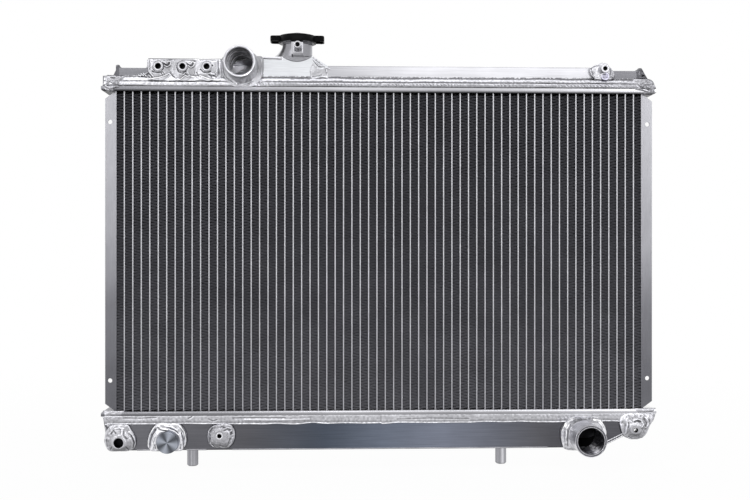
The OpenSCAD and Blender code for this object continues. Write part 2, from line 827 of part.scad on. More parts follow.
// Half profile of the cap cover: shallow dome, round shoulder, straight skirt
module cover_profile(shrink) {
    r = cover_r - shrink;
    top = cover_top - shrink;
    low = shoulder_z - shrink;
    dome_r = (pow(0.96 * cover_r, 2) + pow(dome_drop, 2)) / (2 * dome_drop);
    intersection() {
        translate([0, rim_z - dome_h / 2]) square([r, top - rim_z + dome_h / 2]);
        translate([0, top - dome_r]) circle(dome_r, $fn = 256);
    }
}

// Two ears along X: folded channels, open below
module ears(shrink) {
    span = ear_span - 2 * shrink;
    width = ear_w - 2 * shrink;
    corner = ear_w / 5;
    low = rim_z + cover_t / 2;
    for (s = [-1, 1]) translate([0, 0, low - (shrink > 0 ? over : 0)])
        linear_extrude(shoulder_z - low - shrink + (shrink > 0 ? over : 0)) {
            translate([s > 0 ? 0 : -span / 2 + corner, -width / 2]) square([span / 2 - corner, width]);
            translate([s > 0 ? 0 : -span / 2, -width / 2 + corner]) square([span / 2, width - 2 * corner]);
            for (k = [-1, 1]) translate([s * (span / 2 - corner), k * (width / 2 - corner)]) circle(corner);
        }
}

module cap_cover() {
    skirt_low = rim_z - cam_t / 2;
    reach = cover_r + cover_t;
    below = rim_z - dome_h / 2;
    hook_top = cam_low - move_clear;
    hook_low = hook_top - cover_t;
    color(gloss_black) translate([core_x + filler_x, 0, 0]) difference() {
        union() {
            rotate_extrude() cover_profile(0);
            ears(0);
        }
        rotate_extrude() cover_profile(cover_t);
        difference() {
            ears(cover_t);
            translate([0, 0, rim_z - over]) cylinder(h = dome_h, r = cover_r);
        }
        for (s = [-1, 1]) translate([0, 0, below]) intersection() {
            cylinder(h = skirt_low - below, r = reach);
            translate([s > 0 ? tab_half : -reach - tab_half, -reach, 0]) cube([reach, 2 * reach, dome_h]);
        }
        translate([0, 0, cover_top - 2 * cover_t]) cylinder(h = 3 * cover_t, r = rivet_r + slide_fit);
        translate([0, 0, below - over]) cylinder(h = hook_low - below + over, r = reach);
    }
    color(gloss_black) translate([core_x + filler_x, 0, hook_low]) intersection() {
        difference() {
            cylinder(h = cover_t, r = skirt_r);
            translate([0, 0, -over]) cylinder(h = cover_t + 2 * over, r = barrel_r + skirt_clear);
        }
        translate([-tab_half, -cover_r, 0]) cube([2 * tab_half, 2 * cover_r, cover_t]);
    }
}

module cap_rivet() {
    under = cover_top - cover_t - 2 * move_clear;
    color(steel) translate([core_x + filler_x, 0, 0]) union() {
        translate([0, 0, disc_z + disc_t]) cylinder(h = cover_top + move_clear - disc_z - disc_t, r = rivet_r);
        translate([0, 0, disc_z + disc_t]) cylinder(h = under - disc_z - disc_t, r = rivet_r + 2);
        translate([0, 0, cover_top + move_clear]) cylinder(h = 1, r = rivet_r + 2);
    }
}

module spring_disc() {
    color(steel) translate([core_x + filler_x, 0, disc_z]) cylinder(h = disc_t, r = cam_r - 0.5);
}

module upper_gasket() {
    color(seal_black) translate([core_x + filler_x, 0, gasket_z]) difference() {
        cylinder(h = gasket_t, r = cam_r - 0.8);
        translate([0, 0, -over]) cylinder(h = gasket_t + 2 * over, r = barrel_bore_r - 1);
    }
}

module valve_bell() {
    lip = hub_r + bell_t / 2;
    color(steel) translate([core_x + filler_x, 0, bell_low]) difference() {
        cylinder(h = bell_len, r = bell_r);
        translate([0, 0, bell_t]) cylinder(h = bell_len - 2 * bell_t, r = bell_r - bell_t);
        translate([0, 0, -over]) cylinder(h = bell_len, r = lip);
    }
}

// Round wire swept along a helix, as one closed skin
module coil(mean_r, wire_r, height, turns) {
    steps = 14;
    sides = 6;
    rings = turns * steps;
    points = [for (i = [0 : rings], j = [0 : sides - 1])
        let (a = 360 * i / steps, b = 360 * j / sides, r = mean_r + wire_r * cos(b))
        [r * cos(a), r * sin(a), wire_r + (height - 2 * wire_r) * i / rings + wire_r * sin(b)]];
    skin = [for (i = [0 : rings - 1], j = [0 : sides - 1])
        [i * sides + j, i * sides + (j + 1) % sides, (i + 1) * sides + (j + 1) % sides, (i + 1) * sides + j]];
    first = [for (j = [sides - 1 : -1 : 0]) j];
    last = [for (j = [0 : sides - 1]) rings * sides + j];
    polyhedron(points, concat([first], skin, [last]));
}

module pressure_spring() {
    low = valve_z + valve_t;
    color(steel) translate([core_x + filler_x, 0, low])
        coil(spring_r, spring_wire_r, disc_z - low, spring_turns);
}

module pressure_plate() {
    hub_t = 0.8;
    color(steel) translate([core_x + filler_x, 0, valve_z]) difference() {
        union() {
            cylinder(h = valve_t, r = valve_r);
            cylinder(h = hub_top - valve_z, r = hub_r);
            translate([0, 0, hub_top - valve_z - hub_t]) cylinder(h = hub_t, r = bell_r - bell_t - move_clear);
        }
        translate([0, 0, valve_t]) cylinder(h = hub_top - valve_z, r = hub_r - hub_t);
        translate([0, 0, -over]) cylinder(h = valve_t + 2 * over, r = stem_r + slide_fit);
    }
}

module pressure_seal() {
    color(seal_black) translate([core_x + filler_x, 0, seal_z]) difference() {
        cylinder(h = seal_t, r = valve_r);
        translate([0, 0, -over]) cylinder(h = seal_t + 2 * over, r = seat_hole_r - 3);
    }
}

module vacuum_valve() {
    head_t = 1;
    keeper_r = hub_r - 0.8 - move_clear;
    stem_top = hub_top - 1;
    color(steel) translate([core_x + filler_x, 0, 0]) union() {
        translate([0, 0, valve_z - move_clear - head_t]) cylinder(h = head_t, r = seat_hole_r - 4);
        translate([0, 0, valve_z - move_clear - head_t])
            cylinder(h = stem_top - valve_z + move_clear + head_t, r = stem_r);
        translate([0, 0, stem_top - head_t]) cylinder(h = head_t, r = keeper_r);
    }
}

module vacuum_spring() {
    low = valve_z + valve_t;
    color(steel) translate([core_x + filler_x, 0, low])
        coil(stem_r + 1, 0.3, hub_top - 2 - low, 4);
}

upper_header();
lower_header();
tubes();
fins();
left_side_plate();
right_side_plate();
upper_tank();
upper_tank_ends();
boss_block();
inlet_box();
filler_box();
upper_left_bosses();
upper_right_boss();
upper_right_gusset();
inlet_flange();
inlet_neck();
filler_neck();
overflow_nipple();
lower_tank();
lower_tank_ends();
outlet_saddle();
outlet_neck();
drain_port();
blank_boss();
lower_left_boss();
lower_right_boss();
locating_pins();
upper_seam_weld();
lower_seam_weld();
cap_cover();
cap_rivet();
spring_disc();
upper_gasket();
valve_bell();
pressure_spring();
pressure_plate();
pressure_seal();
vacuum_valve();
vacuum_spring();
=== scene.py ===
# Car radiator: welded aluminium tanks on a brazed fin and tube core, closed by a sprung filler cap.
import math

import bmesh
import bpy
import numpy as np
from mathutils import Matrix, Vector


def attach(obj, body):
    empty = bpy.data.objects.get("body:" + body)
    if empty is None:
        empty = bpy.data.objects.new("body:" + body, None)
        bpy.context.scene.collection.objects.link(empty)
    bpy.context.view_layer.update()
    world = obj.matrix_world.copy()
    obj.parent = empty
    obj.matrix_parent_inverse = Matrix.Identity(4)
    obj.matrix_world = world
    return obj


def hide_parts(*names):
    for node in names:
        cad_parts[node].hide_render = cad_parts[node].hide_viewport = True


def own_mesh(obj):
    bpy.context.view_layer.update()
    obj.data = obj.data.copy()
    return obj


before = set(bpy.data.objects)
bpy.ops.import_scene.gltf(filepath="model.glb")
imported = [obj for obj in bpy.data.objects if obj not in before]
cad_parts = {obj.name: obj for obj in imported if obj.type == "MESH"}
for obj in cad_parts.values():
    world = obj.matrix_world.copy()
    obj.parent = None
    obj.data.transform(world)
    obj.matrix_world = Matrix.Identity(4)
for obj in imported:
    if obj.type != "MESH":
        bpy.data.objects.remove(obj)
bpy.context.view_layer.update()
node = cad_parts


# --- Camera, floor and light ------------------------------------------------------------------
# A plain pale studio: white floor and surroundings, one large soft light above the front,
# two upright soft lights beside the camera that draw the streaks on round parts, and two narrow
# ones that reach into the hose necks.
def add_node(tree, kind, **settings):
    made = tree.nodes.new(kind)
    for key, value in settings.items():
        setattr(made, key, value)
    return made


def wire(tree, source, target):
    tree.links.new(source, target)


def maths(tree, kind, *values):
    """A Math node on numbers or sockets; gives its result."""
    step = add_node(tree, "ShaderNodeMath", operation=kind)
    for socket, value in zip(step.inputs, values):
        if isinstance(value, (int, float)):
            socket.default_value = value
        else:
            wire(tree, value, socket)
    return step.outputs[0]


def span(tree, value, low, high, to_low=0, to_high=1):
    """A value moved from one range of numbers to another, and held inside it."""
    step = add_node(tree, "ShaderNodeMapRange")
    for key, number in zip(("From Min", "From Max", "To Min", "To Max"), (low, high, to_low, to_high)):
        step.inputs[key].default_value = number
    wire(tree, value, step.inputs["Value"])
    return step.outputs[0]


def placed(name, data):
    """An object at the origin that shows the data."""
    made = bpy.data.objects.new(name, data)
    bpy.context.scene.collection.objects.link(made)
    return made


def cleared(owner):
    """The owner's node tree, with nothing in it."""
    owner.use_nodes = True
    owner.node_tree.nodes.clear()
    return owner.node_tree


def coloured(tree, kind, level):
    """A plain shader node in a grey; gives its result."""
    made = add_node(tree, kind)
    made.inputs["Color"].default_value = (*level, 1)
    return made.outputs[0]


def shown(tree, share, lit, seen, output):
    """Wires the tree's output: seen for rays from the camera or off metal or glass, lit for the rest."""
    ray = add_node(tree, "ShaderNodeLightPath").outputs
    direct = maths(tree, "MAXIMUM", maths(tree, "MAXIMUM", ray["Is Camera Ray"], ray["Is Glossy Ray"]),
                   ray["Is Transmission Ray"])
    both = add_node(tree, "ShaderNodeMixShader")
    for source, socket in zip((maths(tree, "MULTIPLY", direct, share), lit, seen), both.inputs):
        wire(tree, source, socket)
    wire(tree, both.outputs[0], add_node(tree, output).inputs["Surface"])


WHITE = (1, 1, 1)
camera = placed("Camera", bpy.data.cameras.new("Camera"))
camera.data.sensor_width, camera.data.lens = 36, 47.83
camera.location = (-0.0095, -1.276, 0.24955)
camera.rotation_euler = (math.radians(90), 0, math.radians(-2.003))
bpy.context.scene.camera = camera
bpy.context.scene.view_settings.view_transform = "Standard"

world = bpy.data.worlds.new("Studio")
bpy.context.scene.world = world
tree = cleared(world)
shown(tree, 1.0, coloured(tree, "ShaderNodeBackground", (0.5, 0.5, 0.51)),
      coloured(tree, "ShaderNodeBackground", WHITE), "ShaderNodeOutputWorld")

FLOOR_Z, FLOOR_REACH = -0.0249, 8
floor_mesh = bpy.data.meshes.new("Floor")
floor_mesh.from_pydata([(FLOOR_REACH * a, FLOOR_REACH * b, FLOOR_Z) for a,
                        b in ((-1, -1), (1, -1), (1, 1), (-1, 1))], [], [(0, 1, 2, 3)])
floor = placed("Floor", floor_mesh)
floor_white = bpy.data.materials.new("Floor_white")
tree = cleared(floor_white)
far = add_node(tree, "ShaderNodeVectorMath", operation="LENGTH")
wire(tree, add_node(tree, "ShaderNodeTexCoord").outputs["Object"], far.inputs[0])
shown(tree, span(tree, far.outputs["Value"], 0.3, 1.2, 0.975, 1),
      coloured(tree, "ShaderNodeBsdfDiffuse", (0.85, 0.85, 0.85)),
      coloured(tree, "ShaderNodeEmission", WHITE), "ShaderNodeOutputMaterial")
floor_mesh.materials.append(floor_white)


def lamp(name, kind, place, aim, **settings):
    """A light at place that points at aim."""
    data = bpy.data.lights.new(name, kind)
    for key, value in settings.items():
        setattr(data, key, value)
    made = placed(name, data)
    made.location = place
    made.rotation_euler = (Vector(aim) - Vector(place)).to_track_quat("-Z", "Y").to_euler()


for name, place, aim, width, height, watts in (("Top_light", (0.05, -0.9, 1.6), (0.05, 0, 0.3), 1.6, 0.8, 6),
                                               ("Left_light", (-0.85, -1.4, 0.5), (0, 0, 0.3), 0.2, 1.0, 2),
                                               ("Right_light", (0.95, -1.2, 0.5), (0, 0, 0.3), 0.16, 1.0, 2)):
    lamp(name, "AREA", place, aim, shape="RECTANGLE", size=width, size_y=height, energy=watts)
for name, place, aim, watts in (("Inlet_light", (0.1, -1.3, 0.22), (-0.134, 0.01, 0.478), 33),
                                ("Outlet_light", (-0.15, -1.3, 0.3), (0.298, -0.05, 0.014), 9)):
    lamp(name, "SPOT", place, aim, energy=watts, spot_size=math.radians(2.3), spot_blend=0.6,
         shadow_soft_size=0.02)


# --- Core: tubes, side plates, fins -----------------------------------------------------------
# 62 columns of flat tubes, 2 mm thick, two rows deep, from clad aluminium sheet; the C shaped
# side plates are folded from the same sheet. Both are painted lighter towards the top, as painted light.
CORE_X = 0.042


def grey(*levels):
    """A colour from display levels, 0 to 255: one level for a cool grey, or three."""
    levels = (levels[0], levels[0], levels[0] + 5) if len(levels) == 1 else levels
    return tuple(((v / 255 + 0.055) / 1.055) ** 2.4 if v > 10 else v / 255 / 12.92 for v in levels)


def along(*stops):
    """Stops of colour for metal(), from (mm from the core's centre, level or levels)."""
    return [(CORE_X + place / 1000, grey(*(level if isinstance(level, tuple) else (level,)))) for place,
            level in stops]


def ramp(tree, value, stops):
    """The colour at a value, between stops of (value, colour)."""
    low, high = (stops[0][0], stops[-1][0]) if len(stops) > 1 else (0, 1)
    band = add_node(tree, "ShaderNodeValToRGB")
    for i, (where, colour) in enumerate(stops):
        at = (where - low) / (high - low)
        element = band.color_ramp.elements[i] if i < 2 else band.color_ramp.elements.new(at)
        element.position, element.color = at, (*colour, 1)
    if len(stops) == 1:
        band.color_ramp.elements[1].color = (*stops[0][1], 1)
    wire(tree, span(tree, value, low, high), band.inputs[0])
    return band.outputs[0]


def metal(name, stops, axis="X", roughness=0.4, grain=(1, 1, 1), grain_size=900, grain_depth=0.06,
          blotch=0.05, under=0.5, over=1.35, hollow_shade=0, bump=0.02, metallic=1.0, holes=(), aside=0.0,
          across=()):
    """Aluminium or another dense finish. stops are (place in metres, colour) along one axis, and
    across (height in metres, factor). Faces that look down take the factor under and faces that look up
    the factor over, as painted shade and light; aside paints faces to one side lighter or darker; the
    hollow attribute paints shade into hollows and highlight onto ridges, by the given strength; and
    painted shade lies down each hole at the front: x, z in mm from the core's centre, radius."""
    made = bpy.data.materials.new(name)
    made.use_nodes = True
    tree = made.node_tree
    shader = tree.nodes["Principled BSDF"]
    shader.inputs["Metallic"].default_value = metallic
    shader.inputs["Roughness"].default_value = roughness
    place = add_node(tree, "ShaderNodeTexCoord").outputs["Object"]
    split = add_node(tree, "ShaderNodeSeparateXYZ")
    wire(tree, place, split.inputs[0])
    base = ramp(tree, split.outputs[axis], stops)
    stretch = add_node(tree, "ShaderNodeMapping")
    stretch.inputs["Scale"].default_value = grain
    wire(tree, place, stretch.inputs[0])
    fine = add_node(tree, "ShaderNodeTexNoise")
    fine.inputs["Scale"].default_value = grain_size
    fine.inputs["Detail"].default_value = 3
    wire(tree, stretch.outputs[0], fine.inputs["Vector"])
    coarse = add_node(tree, "ShaderNodeTexNoise")
    coarse.inputs["Scale"].default_value = 28
    wire(tree, place, coarse.inputs["Vector"])
    facing = add_node(tree, "ShaderNodeSeparateXYZ")
    wire(tree, add_node(tree, "ShaderNodeNewGeometry").outputs["Normal"], facing.inputs[0])
    tones = [span(tree, fine.outputs[0], 0.3, 0.7, 1 - grain_depth, 1 + grain_depth),
             span(tree, coarse.outputs[0], 0.3, 0.7, 1 - blotch, 1 + blotch),
             span(tree, facing.outputs["Z"], -0.8, 0, under, 1),
             span(tree, facing.outputs["Z"], 0, 0.8, 1, over)]
    if across:
        rise = ramp(tree, split.outputs["Z"], [(where, (factor / 2,) * 3) for where, factor in across])
        tones.append(maths(tree, "MULTIPLY", rise, 2.0))
    if aside:
        tones.append(span(tree, facing.outputs["X"], -1, 1, 1 - aside, 1 + aside))
    if hollow_shade:
        hollow = add_node(tree, "ShaderNodeAttribute", attribute_name="hollow")
        tones.append(span(tree, hollow.outputs["Fac"], -1, 1, 1 - hollow_shade, 1 + hollow_shade * 0.6))
    for x, z, r in holes:
        dx = maths(tree, "SUBTRACT", split.outputs["X"], x / 1000 + CORE_X)
        dz = maths(tree, "SUBTRACT", split.outputs["Z"], z / 1000)
        away = maths(tree, "SQRT", maths(tree, "MULTIPLY_ADD", dx, dx, maths(tree, "MULTIPLY", dz, dz)))
        away = maths(tree, "MAXIMUM", away, split.outputs["Y"])
        tones.append(span(tree, away, r / 1000, (r + 0.25) / 1000, 0.05, 1))
    value = tones[0]
    for tone in tones[1:]:
        value = maths(tree, "MULTIPLY", value, tone)
    colour = add_node(tree, "ShaderNodeVectorMath", operation="SCALE")
    wire(tree, base, colour.inputs[0])
    wire(tree, value, colour.inputs["Scale"])
    wire(tree, colour.outputs[0], shader.inputs["Base Color"])
    lumps = add_node(tree, "ShaderNodeBump")
    lumps.inputs["Strength"].default_value = 1
    lumps.inputs["Distance"].default_value = bump / 1000
    wire(tree, fine.outputs[0], lumps.inputs["Height"])
    wire(tree, lumps.outputs[0], shader.inputs["Normal"])
    return made


def paint(piece, material):
    piece.data.materials.clear()
    piece.data.materials.append(material)


core_sheet = metal("Core_sheet", [(0.049, grey(172)), (0.2, grey(188)), (0.447, grey(200))], axis="Z",
                   roughness=0.35, grain=(1, 1, 0.1), under=0.7, over=1.1)
paint(node["tubes"], core_sheet)
side_sheet = metal("Side_plate_sheet", [(0.049, grey(104)), (0.1, grey(104)), (0.18, grey(116)),
                                        (0.25, grey(146)), (0.34, grey(162)), (0.447, grey(174))],
                   axis="Z", roughness=0.38, grain=(1, 1, 0.08), grain_depth=0.05, under=0.7, over=1.1)
for name in ("left_side_plate", "right_side_plate"):
    paint(node[name], side_sheet)

# Folded fin strips: 0.12 mm stock in 4 mm waves, brazed by each crest to a tube. The flanks are
# rolled in a shallow zigzag through the depth, which stirs the air and closes the view through.
FIN_PITCH, FIN_WAVE, FIN_WIDTH, FIN_CREST, FIN_STOCK = 0.0105, 0.004, 0.0084, 0.0011, 0.00014
FIN_LOW, FIN_HIGH, FIN_ROWS = 0.0494, 0.4466, 63
FIN_PROFILE = ((-0.0247, -0.0009), (-0.0238, 0), (-0.0215, 0.0012), (-0.018, 0.0003), (0, 0.003), (0.0247, 0))


def plain_mesh(name, points, faces, smooth=True):
    mesh = bpy.data.meshes.new(name)
    mesh.from_pydata([tuple(p) for p in points], [], [tuple(f) for f in faces])
    mesh.validate()
    if smooth:
        mesh.shade_smooth()
    return placed(name, mesh)


def fin_strip(name, seed):
    """One folded strip, a little uneven in its waves, as strips are when they are pressed in."""
    chance = np.random.default_rng(seed)
    half, t = FIN_WIDTH / 2, FIN_STOCK
    folds = int((FIN_HIGH - FIN_LOW) / FIN_WAVE * 2)
    left, right = [], []
    for i in range(folds):
        z = FIN_LOW + (i + 0.5) * FIN_WAVE / 2 + chance.uniform(-0.00018, 0.00018)
        side = -1 if i % 2 == 0 else 1
        for end in (-1, 1):
            near = (side * half, z + end * FIN_CREST / 2)
            back = (side * (half - t), z + end * (FIN_CREST / 2 - t))
            left.append(near if side < 0 else back)
            right.append(back if side < 0 else near)
    count = len(left)
    points = []
    for y, lift in FIN_PROFILE:
        points += [(x, y, min(max(z + lift, FIN_LOW), FIN_HIGH)) for x, z in left + right]
    faces = []
    for k in range(len(FIN_PROFILE) - 1):
        a, b = k * 2 * count, (k + 1) * 2 * count
        for i in range(count - 1):
            faces.append((a + i, b + i, b + i + 1, a + i + 1))
            faces.append((a + count + i, a + count + i + 1, b + count + i + 1, b + count + i))
        faces.append((a, a + count, b + count, b))
        faces.append((a + count - 1, b + count - 1, b + 2 * count - 1, a + 2 * count - 1))
    last = (len(FIN_PROFILE) - 1) * 2 * count
    for i in range(count - 1):
        faces.append((i, i + 1, count + i + 1, count + i))
        faces.append((last + i, last + count + i, last + count + i + 1, last + i + 1))
    return plain_mesh(name, points, faces, smooth=False)


def new_tree(name, inputs):
    """An empty Geometry Nodes tree with named inputs, the last a finish; gives it and its source node."""
    tree = bpy.data.node_groups.new(name, "GeometryNodeTree")
    for label, kind in {"Geometry": "Geometry", **inputs, "Finish": "Material"}.items():
        tree.interface.new_socket(label, in_out="INPUT", socket_type="NodeSocket" + kind)
    tree.interface.new_socket("Geometry", in_out="OUTPUT", socket_type="NodeSocketGeometry")
    return tree, tree.nodes.new("NodeGroupInput")


def ended(tree, source, last):
    """Closes a tree: copies made real, and the finish set."""
    real = tree.nodes.new("GeometryNodeRealizeInstances")
    wire(tree, last.outputs[0], real.inputs[0])
    finish = tree.nodes.new("GeometryNodeSetMaterial")
    wire(tree, real.outputs[0], finish.inputs["Geometry"])
    wire(tree, source.outputs["Finish"], finish.inputs["Material"])
    wire(tree, finish.outputs[0], tree.nodes.new("NodeGroupOutput").inputs[0])
    return tree


def repeat_tree(name):
    """Geometry Nodes: copies of the piece's own mesh at equal steps along X, as plain mesh."""
    tree, source = new_tree(name, {"Copies": "Int", "First place": "Vector", "Step": "Vector"})
    row = add_node(tree, "GeometryNodeMeshLine", mode="OFFSET", count_mode="TOTAL")
    wire(tree, source.outputs["Copies"], row.inputs["Count"])
    wire(tree, source.outputs["First place"], row.inputs["Start Location"])
    wire(tree, source.outputs["Step"], row.inputs["Offset"])
    place = tree.nodes.new("GeometryNodeInstanceOnPoints")
    wire(tree, row.outputs[0], place.inputs["Points"])
    wire(tree, source.outputs["Geometry"], place.inputs["Instance"])
    return ended(tree, source, place)


def made_plain(piece, tree, **values):
    """Runs a Geometry Nodes tree on a piece and keeps the result as its plain mesh."""
    run = piece.modifiers.new("made", "NODES")
    run.node_group = tree
    for item in tree.interface.items_tree:
        if item.item_type == "SOCKET" and item.in_out == "INPUT" and item.name in values:
            run[item.identifier] = values[item.name]
    mesh = bpy.data.meshes.new_from_object(piece.evaluated_get(bpy.context.evaluated_depsgraph_get()))
    name = piece.name
    bpy.data.objects.remove(piece)
    return placed(name, mesh)


# The fin stock is painted dark grey, darker towards the top, as painted shade deep in the core.
fin_stock = metal("Fin_stock", [(0.049, grey(100)), (0.2, grey(84)), (0.447, grey(74))], axis="Z",
                  roughness=0.6, grain_size=2500, grain_depth=0.25, blotch=0.12, under=0.7, over=1.15,
                  metallic=0.0, bump=0)
fin_stock.node_tree.nodes["Principled BSDF"].inputs["Specular IOR Level"].default_value = 0.15
fin_tree = repeat_tree("Fin_rows")
first, groups = CORE_X - FIN_PITCH * (FIN_ROWS - 1) / 2, 7
for part in range(groups):
    fins = made_plain(fin_strip(f"fin_strips_{part + 1}", 70 + part), fin_tree, **{
        "Copies": FIN_ROWS // groups, "Finish": fin_stock, "First place": (first + part * FIN_PITCH, 0, 0),
        "Step": (groups * FIN_PITCH, 0, 0)})
    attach(fins, "radiator")
    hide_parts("fins")


# --- Tanks and headers ------------------------------------------------------------------------
# Folded 2 mm sheet, brushed along its length and TIG welded. The upper one is painted lighter along
# its middle and darker towards its ends and in bands up its front, as painted light and shade; the
# lower one is painted darker, as painted shade.

# The drilled fittings on the front, in mm: place from the core's centre, height, and radius of the hole.
BOSS_PLACES, BOSS_Z, BOSS_HOLE = (-277.5, -247.5, -217.5), 478, 3.6
BOSS_HOLES = [(place, BOSS_Z, BOSS_HOLE) for place in BOSS_PLACES]
RIGHT_BOSS, DRAIN, BLANK = (281, 477.5), (-325, 11), (-265, 11.5)
LEFT_BOSS, CORNER_BOSS = (-201, 19), (320, 23)
LOWER_HOLES = [(*DRAIN, 5.8), (*LEFT_BOSS, 2.7), (*CORNER_BOSS, 2.7)]
upper_sheet = metal("Upper_tank_sheet",
                    along((-345, 136), (-291, 136), (-67, 197), (-20, 212), (40, 231), (100, 231), (180, 226),
                          (264, 220), (285, 128), (345, 138)), roughness=0.42, grain=(0.03, 1, 1),
                    grain_size=700, grain_depth=0.08, over=0.8,
                    across=[(0.4655, 0.92), (0.469, 0.95), (0.472, 1.0), (0.476, 1.03), (0.4785, 1.03),
                            (0.4792, 0.84), (0.48, 0.84)])
lower_sheet = metal("Lower_tank_sheet",
                    along((-340, 112), (-170, 92), (-70, (78, 85, 97)), (0, (105, 112, 126)),
                          (80, (122, 127, 141)), (200, 90), (340, 86)), roughness=0.42, grain=(0.03, 1, 1),
                    grain_size=700, grain_depth=0.1, holes=LOWER_HOLES)
# The headers' colour along the core is painted light and shade, with painted shade under the upper lip's bend
# and in the groove along the lower rim.
header_sheet = metal("Header_sheet",
                     along((-340, 138), (-200, 158), (-50, 208), (100, 190), (220, 212), (340, 236)),
                     roughness=0.4, grain=(0.03, 1, 1), grain_size=700, under=0.35, over=1.4,
                     across=[(0.0435, 0.55), (0.0455, 0.6), (0.0465, 0.86), (0.049, 0.86), (0.25, 1),
                             (0.4465, 0.35), (0.4485, 0.7), (0.4505, 1.0), (0.453, 1.1)])
box_sheet = metal("Box_sheet", [(0, grey(224, 226, 230))], roughness=0.42, grain=(0.05, 1, 1), over=0.85)
turned = metal("Turned_aluminium", [(0, grey(166))], roughness=0.33, grain=(1, 0.05, 1), aside=-0.1,
               holes=BOSS_HOLES + [(*RIGHT_BOSS, 2.7)] + LOWER_HOLES)
welded = metal("Weld_metal", [(0, grey(190))], roughness=0.35, hollow_shade=0.4)
for name in ("upper_tank", "upper_tank_ends", "boss_block"):
    paint(node[name], upper_sheet)
paint(node["inlet_box"], metal("Inlet_box_sheet", [(0, grey(176))], roughness=0.45, blotch=0.25, under=1.5,
                               over=1.0))
paint(node["filler_box"], box_sheet)
for name in ("lower_tank", "lower_tank_ends"):
    paint(node[name], lower_sheet)
for name in ("upper_header", "lower_header"):
    paint(node[name], header_sheet)
for name in ("upper_left_bosses", "upper_right_boss", "upper_right_gusset", "inlet_neck", "inlet_flange",
             "filler_neck", "overflow_nipple", "outlet_saddle", "outlet_neck", "drain_port", "blank_boss",
             "lower_left_boss", "lower_right_boss", "locating_pins"):
    paint(node[name], turned)
for name in ("upper_seam_weld", "lower_seam_weld"):
    paint(node[name], welded)


# --- Weld seams between tanks and headers -----------------------------------------------------
# TIG welded by hand with filler rod: a rippled bead lies on the header rim, and a smooth leg
# washes up the tank wall. The lower seam is wider and flatter, with a rolled lower edge.
def wobble(a, b, size, seed):
    """Smooth noise from -1 to 1 over places a, b, with lumps of the given size."""
    table = np.random.default_rng(seed).uniform(-1, 1, (258, 258))
    a, b = np.broadcast_arrays(np.asarray(a, float) / size, np.asarray(b, float) / size)
    i, j = np.floor(a).astype(int), np.floor(b).astype(int)
    u, v = a - i, b - j
    u, v, i, j = u * u * (3 - 2 * u), v * v * (3 - 2 * v), i % 256, j % 256
    return ((table[i, j] * (1 - v) + table[i, j + 1] * v) * (1 - u)
            + (table[i + 1, j] * (1 - v) + table[i + 1, j + 1] * v) * u)


def ease(value, low, high):
    """0 below low, 1 above high, smooth between; low may be the larger one."""
    t = np.clip((value - low) / (high - low), 0, 1)
    return t * t * (3 - 2 * t)


def between(value, table):
    """The value's place in a table of (value, result) pairs."""
    return np.interp(value, *zip(*table))


def around(count):
    """Angles of a full turn."""
    return np.linspace(0, 2 * math.pi, count, endpoint=False)


def grid(rows, left, right, cols):
    """Shares of the height, one for each row, and places along the rows."""
    return np.linspace(0, 1, rows)[:, None], np.broadcast_to(np.linspace(left, right, cols), (rows, cols))


def dimes(run, across, pitch, bow, seed):
    """Ripples of a weld bead, 0 in the valleys to 1; across runs from -1 to 1 over the bead."""
    phase = run / pitch + bow * across ** 2 + 0.35 * across + 0.5 * wobble(run, 0, 4 * pitch, seed)
    return np.abs(np.sin(math.pi * phase)) ** 0.6


def blurred(field, turns, wrap):
    for _ in range(turns):
        padded = np.pad(field, ((1, 1), (0, 0)), mode="edge")
        field = (padded[:-2] + 2 * padded[1:-1] + padded[2:]) / 4
        padded = np.pad(field, ((0, 0), (1, 1)), mode="wrap" if wrap else "edge")
        field = (padded[:, :-2] + 2 * padded[:, 1:-1] + padded[:, 2:]) / 4
    return field


def closed_faces(rows, cols, wrap):
    """Faces of a grid of points, of its copy behind it and of the walls between the two."""
    count = rows * cols
    index = np.arange(count).reshape(rows, cols)
    if wrap:
        index = np.hstack([index, index[:, :1]])
    quads = np.stack([index[:-1, :-1], index[:-1, 1:], index[1:, 1:], index[1:, :-1]], -1).reshape(-1, 4)
    edges = [index[0], index[-1][::-1]]
    if not wrap:
        edges += [index[:, 0][::-1], index[:, -1]]
    walls = [np.stack([e[1:], e[:-1], e[:-1] + count, e[1:] + count], -1) for e in edges]
    return np.vstack([quads, quads[:, ::-1] + count] + walls)


def skin(x, z, out, back, side="front", wrap=False, sharpness=4.0, spread=10):
    """Points, faces and hollow values of a closed skin on a grid. x runs along the tank and z up,
    in mm from the core's centre line and the tank face; out is the front's distance from the middle
    of the core, back that of the flat rear."""
    rows, cols = x.shape
    x, z, out = (np.broadcast_to(v, (rows, cols)).astype(float) for v in (x, z, out))
    back = np.broadcast_to(back, (rows, cols)).astype(float)
    hollow = np.clip((out - blurred(out, spread, wrap)) * sharpness, -1, 1)
    points = []
    for away in (out, back):
        places = {"front": (x, -away, z), "back": (-x, away, z), "left": (-away, -x, z),
                  "right": (away, x, z)}
        points.append(np.stack(places[side], -1).reshape(-1, 3))
    points = np.vstack(points) / 1000 + (CORE_X, 0, 0)
    return points, closed_faces(rows, cols, wrap), np.concatenate([hollow.ravel(), np.zeros(rows * cols)])


def skin_piece(name, *parts):
    points, faces, hollow, first = [], [], [], 0
    for p, f, h in parts:
        points.append(p)
        faces.append(f + first)
        hollow.append(h)
        first += len(p)
    made = plain_mesh(name, np.vstack(points), np.vstack(faces).tolist())
    made.data.attributes.new("hollow", "FLOAT", "POINT").data.foreach_set("value", np.concatenate(hollow))
    shape = bmesh.new()
    shape.from_mesh(made.data)
    bmesh.ops.remove_doubles(shape, verts=shape.verts, dist=1e-6)
    bmesh.ops.recalc_face_normals(shape, faces=shape.faces)
    shape.to_mesh(made.data)
    shape.free()
    return made


